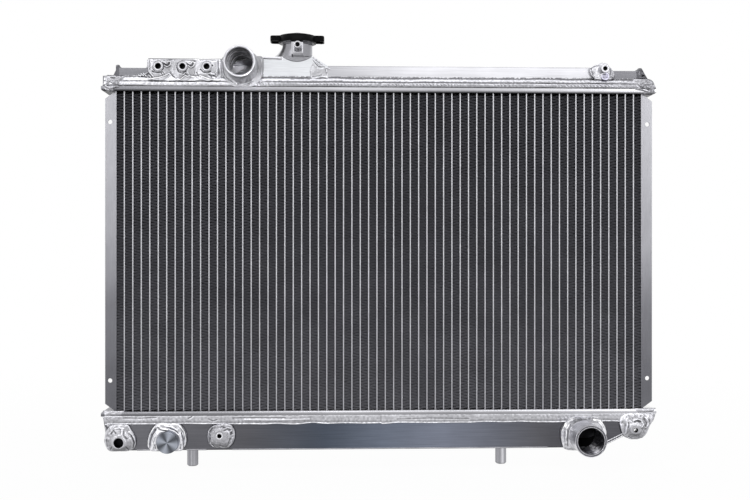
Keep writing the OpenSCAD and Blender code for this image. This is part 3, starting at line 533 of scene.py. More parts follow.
def fit(piece, finish, slot, *stands_for, body="radiator"):
    paint(piece, finish)
    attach(piece, body)
    if stands_for:
        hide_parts(*stands_for)
    return piece


def merged(source):
    """A CAD node's own shape in place, with its shared corners joined."""
    shape = bmesh.new()
    shape.from_mesh(source.data)
    shape.transform(source.matrix_world)
    bmesh.ops.remove_doubles(shape, verts=shape.verts, dist=1e-6)
    return shape


def dressed(name, source, corners):
    """A CAD sheet with its square corners dressed round; each is (x, z, radius) and runs along y."""
    shape = merged(node[source])
    bmesh.ops.dissolve_limit(shape, angle_limit=math.radians(1), verts=shape.verts, edges=shape.edges)
    for x, z, radius in corners:
        found = [e for e in shape.edges if e.calc_length() > 0.003
                 and all(abs(v.co.x - x) < 2e-4 and abs(v.co.z - z) < 2e-4 for v in e.verts)]
        bmesh.ops.bevel(shape, geom=found, offset=radius, segments=8, profile=0.5, affect="EDGES",
                        clamp_overlap=False)
    piece = plain_mesh(name, [], [])
    shape.to_mesh(piece.data)
    shape.free()
    piece.data.shade_smooth()
    piece.data.set_sharp_from_angle(angle=math.radians(30))
    fit(piece, node[source].data.materials[0], "tank_aluminium", source)


# The tank's foot is dressed round at its right end, and the inlet box at both of its upper corners;
# the flange on the box is dressed to match, with the inlet's other pieces.
dressed("upper_tank_shell", "upper_tank", [(0.388, 0.466, 0.008), (0.386, 0.464, 0.006)])
dressed("inlet_box_shell", "inlet_box", [(-0.157, 0.491, 0.005), (-0.105, 0.491, 0.005)])


def runs(x, z, *lines):
    """Ridges along lines of (x, z) points, each (width, height, points); a groove has a height under 0."""
    total = np.zeros(np.broadcast(x, z).shape)
    for width, height, points in lines:
        near = np.full(total.shape, 1e6)
        for (ax, az), (bx, bz) in zip(points[:-1], points[1:]):
            share = ((x - ax) * (bx - ax) + (z - az) * (bz - az)) / ((bx - ax) ** 2 + (bz - az) ** 2)
            share = np.clip(share, 0, 1)
            near = np.minimum(near, np.hypot(x - ax - share * (bx - ax), z - az - share * (bz - az)))
        total = total + height * np.exp(-(near / width) ** 2)
    return total


# In mm from the middle of the core: the tank's front and the rim's, the reach of each seam, the tank's
# ends and the rims', and how far the seams run straight before they are drawn in over a length of BEND.
TANK, RIM, HALF_LENGTH, HALF_DEPTH = 27.5, 29.5, 346.5, 28
END, END_RIM, STRAIGHT, BEND = 346, 348, 320, 26.5
RIGHT_TIP = ((445.4, 342.5), (447, 345.6), (450, 347.6), (454, 347.8), (458, 346.2), (461, 344), (464, 340.6),
             (467, 336))
LEFT_TIP = ((445.4, 336.6), (447, 341), (449.4, 345.6), (451.6, 347.3), (455, 345.2), (458, 344.6),
            (462, 345), (464.5, 344), (467, 340))
LOW_RIGHT_TIP = ((21, 336.5), (30, 342.6), (36, 345.4), (40.7, 346.9), (50, 347.8))
LOW_LEFT_TIP = ((26, 341.8), (30, 343), (38, 345), (45, 346.8), (50, 346))


def tipped(x, z, left, right):
    """Places along the tank with their ends drawn in to the rounded outline of each end."""
    reach = [between(z, tips) for tips in (left, right)]
    left_share, right_share = (1 - (tip - STRAIGHT - 0.6) / BEND for tip in reach)
    return np.where(x < 0, np.minimum(x, STRAIGHT) + np.clip(-x - STRAIGHT, 0, None) * left_share,
                    x - np.clip(x - STRAIGHT, 0, None) * right_share)


def band_skin(x, z, out, wall, side, left, right):
    """The skin of a seam on one side of the core, held to the outline of its end."""
    if side in ("left", "right"):
        out = np.minimum(out, between(z, left if side == "left" else right))
    return skin(x, z, out, np.minimum(wall - 0.8, out - 2), side)


def upper_band(half, wall, rim, side, seed, step):
    """The upper seam on one side: a rippled bead on the header's rim, and a smooth leg up the tank."""
    x, z = np.meshgrid(np.arange(-half, half + step / 2, step), np.linspace(452.6, 467, 27))
    x = {"front": tipped(x, z, LEFT_TIP, RIGHT_TIP), "back": tipped(x, z, RIGHT_TIP, LEFT_TIP)}.get(side, x)
    drift = 0.5 * wobble(x, 0, 30, seed)
    worked = ease(wobble(x, 0, 38, seed + 1), -0.7, -0.1) * ease(x, -205, -150) if side == "front" else 0.8
    bead = np.clip((z - 456.2 - drift * 0.4) / 2.6, -1, 1)
    out = rim + 0.1 + (1.1 + 0.3 * wobble(x, 0, 17, seed + 2)) * np.sqrt(1 - bead ** 2)
    out += worked * 0.55 * (1 - bead ** 2) * (dimes(x, bead, 4.2, 0.5, seed + 3) - 0.6)
    leg = np.clip((z - 461.6 - drift) / 2.7, -1, 1)
    leg_out = wall + 0.2 + 1.7 * np.sqrt(1 - leg ** 2) + (rim - wall - 0.6) * ease(z, 464, 458)
    wash = wall + 0.25 * ease(z, 467, 464) - 0.3 * ease(z, 466.2, 467)
    low = np.where(z < 459.2, rim - 0.3, wall)
    out = np.maximum(np.maximum(np.where(np.abs(bead) < 1, out, low),
                                np.where(np.abs(leg) < 1, leg_out, wash)), wash)
    out += 0.16 * wobble(x, z, 2.6, seed + 4) + 0.12 * wobble(x, z, 1.3, seed + 5)
    return band_skin(x, z, out, wall, side, LEFT_TIP, RIGHT_TIP)


def lower_band(half, wall, rim, side, seed, step):
    """The lower seam on one side: a wide flat run of weld with a rolled lower edge."""
    places = np.arange(-half, half + step / 2, step)
    edge = 32.6 - 0.7 * wobble(places, 0, 22, seed) - 0.9 * ease(wobble(places, 0, 60, seed + 1), 0.1, 0.7)
    v = np.linspace(0, 1, 24)[:, None]
    x = np.broadcast_to(places, (24, edge.size))
    z = edge + v * (43.4 - edge)
    x = {"front": tipped(x, z, LOW_LEFT_TIP, LOW_RIGHT_TIP),
         "back": tipped(x, z, LOW_RIGHT_TIP, LOW_LEFT_TIP)}.get(side, x)
    roll = np.exp(-((v - 0.07) / 0.06) ** 2)
    out = (wall + 1.6 + (rim - wall - 1.3) * ease(v, 0.1, 0.5) + 0.7 * roll - 2.0 * ease(v, 0.04, 0.0)
           - 0.5 * ease(v, 0.93, 1))
    worked = ease(wobble(x, 0, 45, seed + 2), 0.15, 0.55)
    out = out + worked * 0.2 * np.sin(math.pi * v) * (dimes(x, 2 * v - 1, 5, 0.4, seed + 3) - 0.6)
    out += (0.2 * wobble(x, z, 8, seed + 4) + 0.16 * wobble(x, z, 2.4, seed + 5)
            + 0.5 * roll * wobble(x, z, 3, seed + 6))
    out += runs(x, z, (0.8, -0.8, [(-240, 40), (-236, 42)]),
                (0.7, -0.8, [(-215, 39), (-210, 36.6), (-205, 38)]),
                (0.9, -0.6, [(-320, 41), (-300, 40.4), (-280, 41.4)]),
                (0.8, -0.6, [(-185, 40), (-150, 40.6), (-120, 40)]),
                (0.9, 0.6, [(-170, 38), (-130, 37.4), (-90, 38.4)]),
                (0.9, -0.5, [(20, 37.6), (60, 38.6), (110, 37.6)]))
    return band_skin(x, z, out, wall, side, LOW_LEFT_TIP, LOW_RIGHT_TIP)


weld_bright = metal("Weld_bright",
                    along((-345, 200), (-220, 204), (-160, 182), (-90, 162), (0, 170), (345, 158)),
                    roughness=0.3, grain_size=1200, grain_depth=0.12, blotch=0.12, under=0.25, over=1.2,
                    hollow_shade=0.7)
weld_soft = metal("Weld_soft", along((-345, 192), (0, 200), (345, 184)), roughness=0.36, grain_size=1200,
                  grain_depth=0.1, blotch=0.12, under=0.35, over=1.2, hollow_shade=0.55)
for seam, band, finish, seeds in (("upper_seam", upper_band, weld_bright, (11, 23, 31, 37)),
                                  ("lower_seam", lower_band, weld_soft, (41, 47, 53, 59))):
    weld = seam + "_weld"
    front, rear, left, right = seeds
    fit(skin_piece(seam + "_front", band(HALF_LENGTH, TANK, RIM, "front", front, 0.8)), finish, "weld_metal",
        weld)
    fit(skin_piece(seam + "_rest", band(HALF_LENGTH, TANK, RIM, "back", rear, 1.2),
                   band(HALF_DEPTH, END, END_RIM, "left", left, 1.0),
                   band(HALF_DEPTH, END, END_RIM, "right", right, 1.0)), finish, "weld_metal", weld)


# --- Beads that follow a path -----------------------------------------------------------------
# Narrow fillet welds round the boxes, flanges, plates and pins. Each is a run of filler metal
# laid down in overlapping drops, slightly uneven in width.
def bead_tree():
    """Geometry Nodes: turns a path into a rippled bead of weld metal."""
    tree, source = new_tree("Weld_bead",
                            dict.fromkeys(("Bead radius", "Ripple pitch", "Ripple depth", "Unevenness"),
                                          "Float"))

    def stored(label, shape, value):
        step = add_node(tree, "GeometryNodeStoreNamedAttribute", data_type="FLOAT", domain="POINT")
        step.inputs["Name"].default_value = label
        wire(tree, shape.outputs[0], step.inputs["Geometry"])
        wire(tree, value, step.inputs["Value"])
        return step

    def recalled(label):
        step = add_node(tree, "GeometryNodeInputNamedAttribute", data_type="FLOAT")
        step.inputs["Name"].default_value = label
        return step.outputs[0]

    even = add_node(tree, "GeometryNodeResampleCurve", mode="LENGTH")
    wire(tree, source.outputs["Geometry"], even.inputs["Curve"])
    wire(tree, maths(tree, "DIVIDE", source.outputs["Ripple pitch"], 7.0), even.inputs["Length"])
    kept = stored("run", even, tree.nodes.new("GeometryNodeSplineParameter").outputs["Length"])
    ring = add_node(tree, "GeometryNodeCurvePrimitiveCircle", mode="RADIUS")
    ring.inputs["Resolution"].default_value = 10
    wire(tree, source.outputs["Bead radius"], ring.inputs["Radius"])
    across = stored("round", ring, tree.nodes.new("GeometryNodeSplineParameter").outputs["Factor"])
    tube = tree.nodes.new("GeometryNodeCurveToMesh")
    tube.inputs["Fill Caps"].default_value = True
    wire(tree, kept.outputs[0], tube.inputs["Curve"])
    wire(tree, across.outputs[0], tube.inputs["Profile Curve"])
    turn = maths(tree, "MULTIPLY", recalled("round"), 2 * math.pi)
    phase = maths(tree, "ADD", maths(tree, "DIVIDE", recalled("run"), source.outputs["Ripple pitch"]),
                  maths(tree, "MULTIPLY", maths(tree, "COSINE", turn), 0.3))
    ripple = maths(tree, "ABSOLUTE", maths(tree, "SINE", maths(tree, "MULTIPLY", phase, math.pi)))
    ripple = maths(tree, "MULTIPLY", maths(tree, "SUBTRACT", maths(tree, "POWER", ripple, 0.7), 0.6),
                   source.outputs["Ripple depth"])
    place = tree.nodes.new("GeometryNodeInputPosition")
    lumps = add_node(tree, "ShaderNodeTexNoise")
    lumps.inputs["Scale"].default_value = 160
    wire(tree, place.outputs[0], lumps.inputs["Vector"])
    lump = maths(tree, "MULTIPLY", maths(tree, "SUBTRACT", lumps.outputs[0], 0.5),
                 source.outputs["Unevenness"])
    normal = tree.nodes.new("GeometryNodeInputNormal")
    offset = add_node(tree, "ShaderNodeVectorMath", operation="SCALE")
    wire(tree, normal.outputs[0], offset.inputs[0])
    wire(tree, maths(tree, "ADD", ripple, lump), offset.inputs["Scale"])
    moved = tree.nodes.new("GeometryNodeSetPosition")
    wire(tree, tube.outputs[0], moved.inputs["Geometry"])
    wire(tree, offset.outputs[0], moved.inputs["Offset"])
    hollow = stored("hollow", moved, maths(tree, "DIVIDE", ripple, source.outputs["Ripple depth"]))
    smooth = tree.nodes.new("GeometryNodeSetShadeSmooth")
    wire(tree, hollow.outputs[0], smooth.inputs["Geometry"])
    return ended(tree, source, smooth)


weld_bead = bead_tree()


def bead(name, paths, radius, finish=weld_bright, pitch=4.0, depth=0.25, uneven=1.0, closed=False):
    """Beads along paths of (x, out, z) points in mm from the core's centre line; out is towards -Y."""
    data = bpy.data.curves.new(name, "CURVE")
    data.dimensions = "3D"
    for points in paths:
        line = data.splines.new("POLY")
        line.points.add(len(points) - 1)
        line.use_cyclic_u = closed
        for point, (x, out, z) in zip(line.points, points):
            point.co = (x / 1000 + CORE_X, -out / 1000, z / 1000, 1)
    made = made_plain(placed(name, data), weld_bead, **{
        "Bead radius": radius / 1000, "Ripple pitch": pitch / 1000, "Ripple depth": depth / 1000,
        "Unevenness": uneven / 1000, "Finish": finish})
    return fit(made, finish, "weld_metal")


# --- Boss block and tapped bosses of the upper tank -------------------------------------------
# Three drilled bosses side by side in a raised box. The weld round each has flowed together, so
# the box front is three lobes with puddled folds between them, over a wavy run along its foot.
v, x = grid(76, -290.4, -199.4, 210)
top = (487.9 - 0.8 * ease(np.abs(x + 217.5), 14, 18) - 0.5 * ease(np.abs(x + 262), 4, 0)
       + 0.2 * wobble(x, 0, 9, 3))
foot = 459.0 + 0.5 * wobble(x, 0, 6, 4)
z = foot + v * (top - foot)
crest = [(-290, 462.5), (-284, 463), (-275, 464.5), (-268, 467), (-263.5, 469.5), (-259, 464.5),
         (-254, 461.2), (-250, 462), (-244, 466.5), (-239, 466), (-231, 465), (-225, 466.5), (-217, 463.5),
         (-208, 461.5), (-200, 461.5)]
wave = between(x, crest)
out = TANK + 0.7 + 3.1 * ease(z, wave + 1.4, wave - 1.2)
out += runs(x, z, (1.0, 1.0, crest))
for place in BOSS_PLACES:
    away = np.hypot(x - place, (z - BOSS_Z + 2) * 0.9)
    out += 1.5 * np.sqrt(np.clip(1 - (away / 15.5) ** 2, 0, 1))
    rim = np.exp(-((np.hypot(x - place, z - BOSS_Z) - 6.6) / 0.7) ** 2)
    out -= 0.8 * rim * ease(wobble(x, z, 4, 9), -0.6, 0.2)
out += runs(x, z, (0.8, 1.3,
                   [(-271, 483), (-267.5, 481), (-264.5, 484.5), (-262, 483), (-263, 479), (-266.5, 477),
                    (-270, 479)]), (0.8, 1.3, [(-241, 482), (-238, 480), (-235, 484), (-232.5, 482.5),
                                               (-233.5, 478.5), (-237, 476.5), (-241, 479)]),
            (0.7, -0.8, [(-269.5, 481), (-266.5, 479), (-264, 481.5)]),
            (0.7, -0.8, [(-240, 480.5), (-236.5, 478.5), (-234.5, 481)]),
            (0.8, -1.1, [(-285, 471.5), (-279, 470), (-272, 470.5), (-270, 468)]),
            (0.7, -1.1, [(-274, 469), (-271, 466.5)]), (0.7, 1.2, [(-292, 469.5), (-286, 464)]),
            (0.7, 1.2, [(-289, 471), (-283.5, 465)]), (0.6, -1.2, [(-290.5, 470), (-285, 464.5)]),
            (0.8, -1.3, [(-260, 466), (-256.5, 463)]),
            (0.8, -1.0, [(-254, 476), (-252, 471), (-247, 469.5), (-243.5, 472)]),
            (0.6, 1.0, [(-246, 470), (-243, 467), (-241, 464.5)]),
            (0.6, 1.0, [(-242, 471), (-239.5, 468), (-237.5, 465)]),
            (0.7, -1.2, [(-244, 469), (-241.5, 466)]), (0.9, -0.8, [(-230, 470), (-227.5, 465)]),
            (0.8, -1.1, [(-225, 474), (-222, 471), (-217, 470), (-212.5, 472)]),
            (1.1, -1.2, [(-214.5, 467.5), (-211.5, 465.5)]), (0.8, -1.0, [(-209.5, 466.5), (-206, 465)]),
            (0.8, 0.9, [(-212, 468.5), (-208, 468)]), (0.7, -1.4, [(-210.5, 479.5), (-210, 478.5)]),
            (0.8, -0.7, [(-203.5, 486), (-203, 478), (-201.5, 468)]),
            (0.8, -0.9, [(-284, 486), (-270, 485.5), (-262, 486)]),
            (0.8, -0.9, [(-258, 486), (-240, 485.5), (-232, 485)]), (0.8, -0.8, [(-226, 486), (-206, 486)]),
            (0.7, -0.9, [(-288.4, 486), (-288.2, 474)]))
out += 0.35 * wobble(x, z, 6, 5) + 0.12 * wobble(x, z, 2.4, 6) + 0.05 * wobble(x, z, 1.1, 7)
out -= 1.4 * ease(v, 0.975, 1.0) + 1.3 * ease(np.abs(x + 244.9), 44.4, 45.6) + 1.8 * ease(v, 0.05, 0)
for place in BOSS_PLACES:
    out = np.where(np.hypot(x - place, z - BOSS_Z) < BOSS_HOLE, TANK - 7, out)
cast = metal("Boss_cast", along((-290, 200), (-200, 212)), roughness=0.32, grain_size=900, grain_depth=0.1,
             blotch=0.18, under=0.25, over=1.2, hollow_shade=0.75,
             across=[(0.456, 1.5), (0.463, 1.5), (0.4665, 0.9), (0.474, 0.92), (0.482, 1.0), (0.488, 1.0)],
             holes=BOSS_HOLES)
fit(skin_piece("boss_block_front",
               skin(x, z, out, np.minimum(TANK - 0.5, out - 0.6), sharpness=2.4, spread=8)), cast,
    "tank_aluminium")


def collar(x, z, inner, outer, start, height, seed, lip=0.1):
    """A raised ring of metal round a hole, in the tank's front plane."""
    turn = around(64)
    u = np.linspace(0, 1, 10)[:, None]
    r = inner + u * (outer - inner) * (1 + 0.05 * wobble(turn * 2, 0, 1, seed))
    out = (start + height * (np.sqrt(np.clip(1 - (2 * u - 1) ** 2, 0, 1)) ** 0.8)
           + lip * wobble(turn * 3, u, 1, seed + 1))
    return skin(x + r * np.cos(turn), z + r * np.sin(turn), out * np.ones_like(r), start - 1.5, wrap=True,
                spread=3)


turned_bright = metal("Turned_bright", [(0, grey(214))], roughness=0.28, grain_size=1500, grain_depth=0.08,
                      under=0.35, over=1.1, hollow_shade=0.6, holes=BOSS_HOLES + [(*RIGHT_BOSS, 2.7)])
fit(skin_piece("boss_collars", *[collar(a, BOSS_Z, 3.55, 5.9, TANK + 1.6, 1.6, 60 + i)
                                 for i, a in enumerate(BOSS_PLACES)]), turned_bright, "machined_aluminium")


# --- Inlet flange, filler box and its shoulder ------------------------------------------------
# The inlet neck stands on a flat flange, welded round its left and lower edge. The box beside it
# has a plain folded front; its right shoulder is closed with puddled weld.

# Both hose necks: their axes, the radius of the bore and of the wall behind its skin, and its depth.
INLET, OUTLET, BORE, BORE_WALL, BORE_DEPTH = (-172.5, 476.5), (253.5, 17), 16.35, 16.45, 44


def mound(x, z, hole, outline, profile, seed, rough=0.3, floor=0.0, lumps=4.0, turns=120, rings=34, marks=()):
    """A fitting in its weld: outline gives the reach at each angle, profile the height over the tank
    for shares of the way out, and marks its ridges and grooves. Nothing hangs lower than floor."""
    turn = around(turns)
    share = np.linspace(0, 1, rings)[:, None]
    angles = np.degrees(turn)
    reach = between(angles, outline + [(360, outline[0][1])])
    reach = blurred(np.vstack([reach] * 3), 2, True)[1] * (1 + 0.012 * wobble(turn * 9, 0, 1, seed))
    r = hole + share * (reach - hole)
    px, pz = x + r * np.cos(turn), z + r * np.sin(turn)
    pz = np.maximum(pz, floor + 0.05 * (pz - floor))
    height = between(share, profile)
    height = blurred(np.hstack([height] * 3), 1, False)[:, :1]
    out = TANK + height + rough * wobble(px, pz, lumps, seed + 1) * ease(share, 0.1, 0.4)
    out = out + 0.6 * rough * wobble(px, pz, lumps / 2.6, seed + 2) * ease(share, 0.1, 0.4)
    out = out + runs(px, pz, *marks) * ease(share, 1.02, 0.9)
    out[-1] = np.minimum(out[-1], TANK - 0.3)
    return skin(px, pz, out, TANK - 0.9, wrap=True, sharpness=2.4, spread=7)


# The flange's colour is painted darker from a little below the neck's axis upwards, as painted shade about
# the neck.
flange_grey = metal("Flange_sheet", along((-200, 206), (-146, 216)), roughness=0.36, grain=(1, 1, 0.3),
                    grain_depth=0.12, blotch=0.25, under=0.45, over=1.2, hollow_shade=0.75,
                    across=[(0.4525, 1.0), (0.457, 1.15), (0.464, 0.95), (0.475, 0.66), (0.492, 0.7)])
paint(node["inlet_flange"], flange_grey)
dressed("inlet_flange_plate", "inlet_flange", [(-0.1565, 0.491, 0.005), (-0.1045, 0.491, 0.005)])
flange = mound(*INLET, 18.6,
               [(0, 24.3), (20, 26.2), (29, 25.6), (38, 22), (48, 19.4), (128, 19.3), (140, 19.6),
                (152, 27.2), (165, 27.6), (180, 26.9), (200, 27.2), (219, 25.2), (241, 23.5), (270, 22.7),
                (300, 23.5), (318, 24.8), (338, 25.3)],
               [(0, 2.6), (0.12, 2.8), (0.3, 3.8), (0.9, 3.8), (0.97, 2.8), (1, 0)], 81, rough=0.25, lumps=6,
               marks=[(1.1, 1.1, [(-198.4, 488), (-198, 478), (-196.2, 467), (-191, 461.6), (-186, 458)]),
                      (0.8, -0.9, [(-196, 488), (-195.6, 478), (-193.6, 468), (-189, 463)]),
                      (0.6, -0.6, [(-178, 467), (-178, 455)]), (1.6, 0.4, [(-181, 465), (-181, 457)]),
                      (0.7, -0.6, [(-169.5, 464), (-169, 456)]),
                      (1.1, 1.0, [(-180, 456), (-175, 455), (-172, 456)]),
                      (1.2, 1.1, [(-169, 455.2), (-165, 455.6), (-161, 458)]),
                      (0.8, -1.2, [(-173, 456.4), (-170, 455.6)]),
                      (0.8, -0.7, [(-158, 475), (-156, 470), (-154, 468)]),
                      (0.8, 0.7, [(-156.5, 474), (-154.5, 470)]), (0.7, 0.7, [(-149.4, 489), (-149.4, 464)]),
                      (0.6, -0.8, [(-151.2, 486), (-151, 466)])])
fit(skin_piece("inlet_flange_front", flange), flange_grey, "tank_aluminium")

# Inside the neck the bore is left as cast, in uneven steps, down to the torched edge of the hole.
# The neck's colour has a painted highlight on its lip and painted shade deeper in; the steps take
# strong painted shade on faces that look down and painted light on faces that look up.
bore_grey = metal("Neck_bore",
                  [(-0.0757, grey(212)), (-0.075, grey(210)), (-0.0742, grey(120)), (-0.062, grey(170)),
                   (-0.045, grey(150)), (-0.03, grey(110))], axis="Y", roughness=0.3, grain=(0.3, 1, 0.3),
                  grain_size=420, grain_depth=0.12, blotch=0.15, under=0.7, over=1.1, aside=-0.1)
paint(node["inlet_neck"], bore_grey)


def sleeve(x, z, inner, outer, out, turn):
    """A closed tube between two radii along the depth of the core, one row of points for each out."""
    shape = np.broadcast(inner, out, turn).shape
    inner, outer, out = (np.broadcast_to(v, shape) for v in (inner, outer, out))
    sheets = [skin(x + r * np.cos(turn), z + r * np.sin(turn), out, 0, wrap=True)[0][:out.size]
              for r in (inner, outer)]
    hollow = np.clip(-(inner - blurred(inner, 5, True)) * 9, -1, 1).ravel()
    return np.vstack(sheets), closed_faces(*out.shape, True), np.concatenate([hollow, np.zeros(out.size)])


turn = around(96)
depth = np.linspace(0, 1, 116)[:, None]
inward = BORE_DEPTH * depth
steps = 0.25 * np.abs(wobble(inward, turn * 1.2, 3.0, 83)) + 0.12 * wobble(inward, turn * 9, 1.4, 84)
crown = np.clip(0.25 + 1.1 * np.cos(turn - math.radians(112)), 0, 1)
for i, (start, height) in enumerate([(5, 0.6), (11, 1.1), (20, 0.7), (28, 1.2)]):
    at = start + 1.6 * wobble(turn * 3, i * 9, 1.5, 88 + i)
    steps = steps + height * crown * ease(inward, at, at + 0.7)
radius = BORE - 0.5 * ease(depth, 0.04, 0.1) - steps * ease(depth, 0.05, 0.12)
lining = sleeve(*INLET, radius, BORE_WALL, 74.6 - inward, turn)
bore_cast = metal("Bore_cast", [(0, grey(236))], roughness=0.3, grain=(0.15, 1, 0.15), grain_size=260,
                  grain_depth=0.7, blotch=0.35, under=0.1, over=1.6, hollow_shade=1.0, metallic=0)
fit(skin_piece("inlet_bore_lining", lining), bore_cast, "machined_aluminium")
edge = [(-189, 477), (-187.6, 479), (-184.5, 481.2), (-182, 484.4), (-179.4, 485.4), (-175, 485.8),
        (-172, 487), (-169, 487.6), (-165.5, 487), (-162, 485.2), (-158.5, 484)]
v, x = grid(14, -188.6, -156.6, 90)
foot = between(x, edge) + 0.4 * wobble(x, 0, 1.6, 85)
z = foot + v * np.maximum(INLET[1] + np.sqrt(np.clip(16.3 ** 2 - (x - INLET[0]) ** 2, 0, None)) - foot, 0.1)
out = 30.4 + 0.5 * wobble(x, z, 2.2, 86) + runs(x, z, (0.9, 0.9, [(a, b + 2.6) for a, b in edge[3:]]),
                                                 (0.9, -1.6, [(a, b + 0.6) for a, b in edge]))
# The torched edge takes near-black painted shade on faces that look down and in its groove.
torched = metal("Torched_edge", [(0, grey(205))], roughness=0.35, grain_size=500, grain_depth=0.5, blotch=0.4,
                under=0.02, over=1.2, hollow_shade=1.0, metallic=0)
fit(skin_piece("inlet_torched_edge", skin(x, z, out, 27)), torched, "tank_aluminium")

v = np.linspace(0, 1, 40)[:, None]
x = -147.2 + (26 + 0 * v) * np.linspace(0, 1, 60)
z = 486.6 + 4.6 * v + 0 * x
out = (TANK + 0.3 + runs(x, z, (0.9, 0.9, [(-148, 489.8), (-138, 489.2), (-127, 489)]),
                         (0.6, -0.5, [(-147, 487.6), (-124, 487.2)])))
out += (0.25 * wobble(x, z, 4, 87) - 1.2 * ease(v, 0.08, 0) - 0.8 * ease(v, 0.94, 1)
        - 1.0 * ease(x, -124, -121.4))
weld_white = metal("Weld_white", [(0, grey(222))], roughness=0.28, grain_size=1500, grain_depth=0.08,
                   blotch=0.1, under=0.35, over=1.1, hollow_shade=0.6)
fit(skin_piece("filler_box_weld", skin(x, z, out, TANK - 0.8)), weld_white, "weld_metal")
bead("filler_box_bead", [[(-147.4, 28.0, 486), (-147.6, 28.0, 478), (-147.4, 28.0, 469)]], 0.7, weld_white,
     pitch=9, depth=0.05, uneven=0.4)

v = np.linspace(0, 1, 60)[:, None]
edge = np.linspace(0, 1, 70)
left = -88.5 + 1.2 * wobble(v * 25, 0, 6, 91) + 2.2 * ease(v, 0.5, 0.9)
right = -66.6 + 2.8 * ease(v, 0.35, 0.0)
x = left + edge * (right - left)
slope = 491 - 15.0 * np.clip((x + 86) / 17, 0, 1)
z = 462.6 + v * (slope + 0.2 - 462.6)
out = (TANK + 0.5 + runs(x, z, (0.9, 1.2, [(-88, 491), (-84, 486.5), (-79, 480)]),
                         (0.7, -1.0, [(-86.6, 487), (-82.4, 481.5)]),
                         (0.8, 1.2, [(-82, 489), (-76, 483.8), (-70, 478.2)]),
                         (0.7, -1.1, [(-81.5, 486), (-76.5, 481.6)]),
                         (0.7, -1.2, [(-80, 481), (-79.4, 478.2), (-76.5, 477), (-73, 477.8), (-71.5, 479)]),
                         (0.7, 0.9, [(-78, 480), (-75, 479.2)]), (0.7, -0.8, [(-85.6, 479), (-85.8, 473)]),
                         (0.8, 0.9, [(-69.5, 477), (-68.8, 472)]),
                         (0.9, 0.8, [(-86, 464), (-80, 465), (-74, 466.4), (-68.5, 465)]),
                         (0.7, -0.7, [(-86, 466.2), (-80, 467), (-75, 468)]),
                         (0.7, -0.8, [(-73, 463.4), (-69, 463.6)])))
out += 0.4 * wobble(x, z, 6, 92) + 0.2 * wobble(x, z, 2.2, 93)
out -= 0.9 * ease(v, 0.97, 1) + 0.9 * ease(v, 0.03, 0) + 0.9 * ease(edge, 0.05, 0) + 0.9 * ease(edge, 0.95, 1)
puddled = metal("Puddled_weld", [(0, grey(204))], roughness=0.3, grain_size=1200, grain_depth=0.1, blotch=0.1,
                under=0.3, over=1.15, hollow_shade=0.6)
fit(skin_piece("shoulder_puddles", skin(x, z, out, TANK - 0.8, sharpness=2.5, spread=7)), puddled,
    "weld_metal")
bead("shoulder_bead", [[(-87, 26.4, 491.6), (-82, 27.0, 488.2), (-76, 27.2, 483.2), (-70, 27.2, 477.8),
                        (-64, 27.0, 475.6)]], 1.1, puddled, pitch=4.4, depth=0.2, uneven=1.2)

# The foot of the filler neck laps over the box front: a low lens of grey metal.
FILLER_X = -106
u = np.linspace(-1, 1, 46)
v = np.linspace(0, 1, 16)[:, None]
x = -105.6 + 18.4 * u + 0 * v
z = 490.9 - v * (6.2 * (1 - u ** 2) + 0.15) + 0.25 * v
out = TANK + 0.9 * np.sqrt(1 - u ** 2) * ease(v, 1.02, 0.8) + 0.1 + 0.1 * wobble(x, z, 4, 95)
neck_grey = metal("Neck_foot", [(0, grey(158))], roughness=0.38, grain_size=900, grain_depth=0.1, blotch=0.15,
                  under=0.6, over=1.2, hollow_shade=0.3)
fit(skin_piece("neck_apron", skin(x, z, out, TANK - 0.6)), neck_grey, "machined_aluminium")
turn = around(96)
rise = np.linspace(0, 1, 24)[:, None]
away = (20 * np.clip(np.cos(turn - math.pi), 0, 1) ** 1.5
        + 5.5 * np.clip(1 - np.cos(turn), 0, 1) * (1 - np.clip(np.cos(turn - math.pi), 0, 1)))
reach = 18.9 + away * (1 - rise) ** 1.8 * (1 + 0.05 * wobble(turn * 9, rise * 9, 3, 94))
height = 490.9 + 20 * rise ** 1.2 + 0 * turn
rings = [np.stack([(FILLER_X + r * np.cos(turn)) / 1000 + CORE_X, -r * np.sin(turn) / 1000, height / 1000],
                  -1).reshape(-1, 3) for r in (reach, 18.4 + 0 * reach)]
# Across the neck the fillet's and the barrel's colours are painted light and shade: upright highlights,
# darker towards the barrel's edges.
fillet = metal("Neck_fillet", along((-138, 216), (-127, 196), (-120, 150), (-90, 150), (-85, 190)),
               roughness=0.3, grain_size=900, under=0.5, over=1.0)
fit(skin_piece("neck_fillet",
               (np.vstack(rings), closed_faces(*height.shape, True), np.zeros(2 * height.size))), fillet,
    "weld_metal")
barrel_light_and_shade = [(-125.6, 110), (-122.5, 150), (-118, 160), (-112.5, 132), (-97, 104), (-94, 118), (-90.5, 160),
          (-89, 140), (-87.2, 100)]
neck_turned = metal("Neck_turned", along(*barrel_light_and_shade), roughness=0.36,
                    grain=(1, 1, 0.1), grain_depth=0.06, under=0.45, over=1.15)
paint(node["filler_neck"], neck_turned)

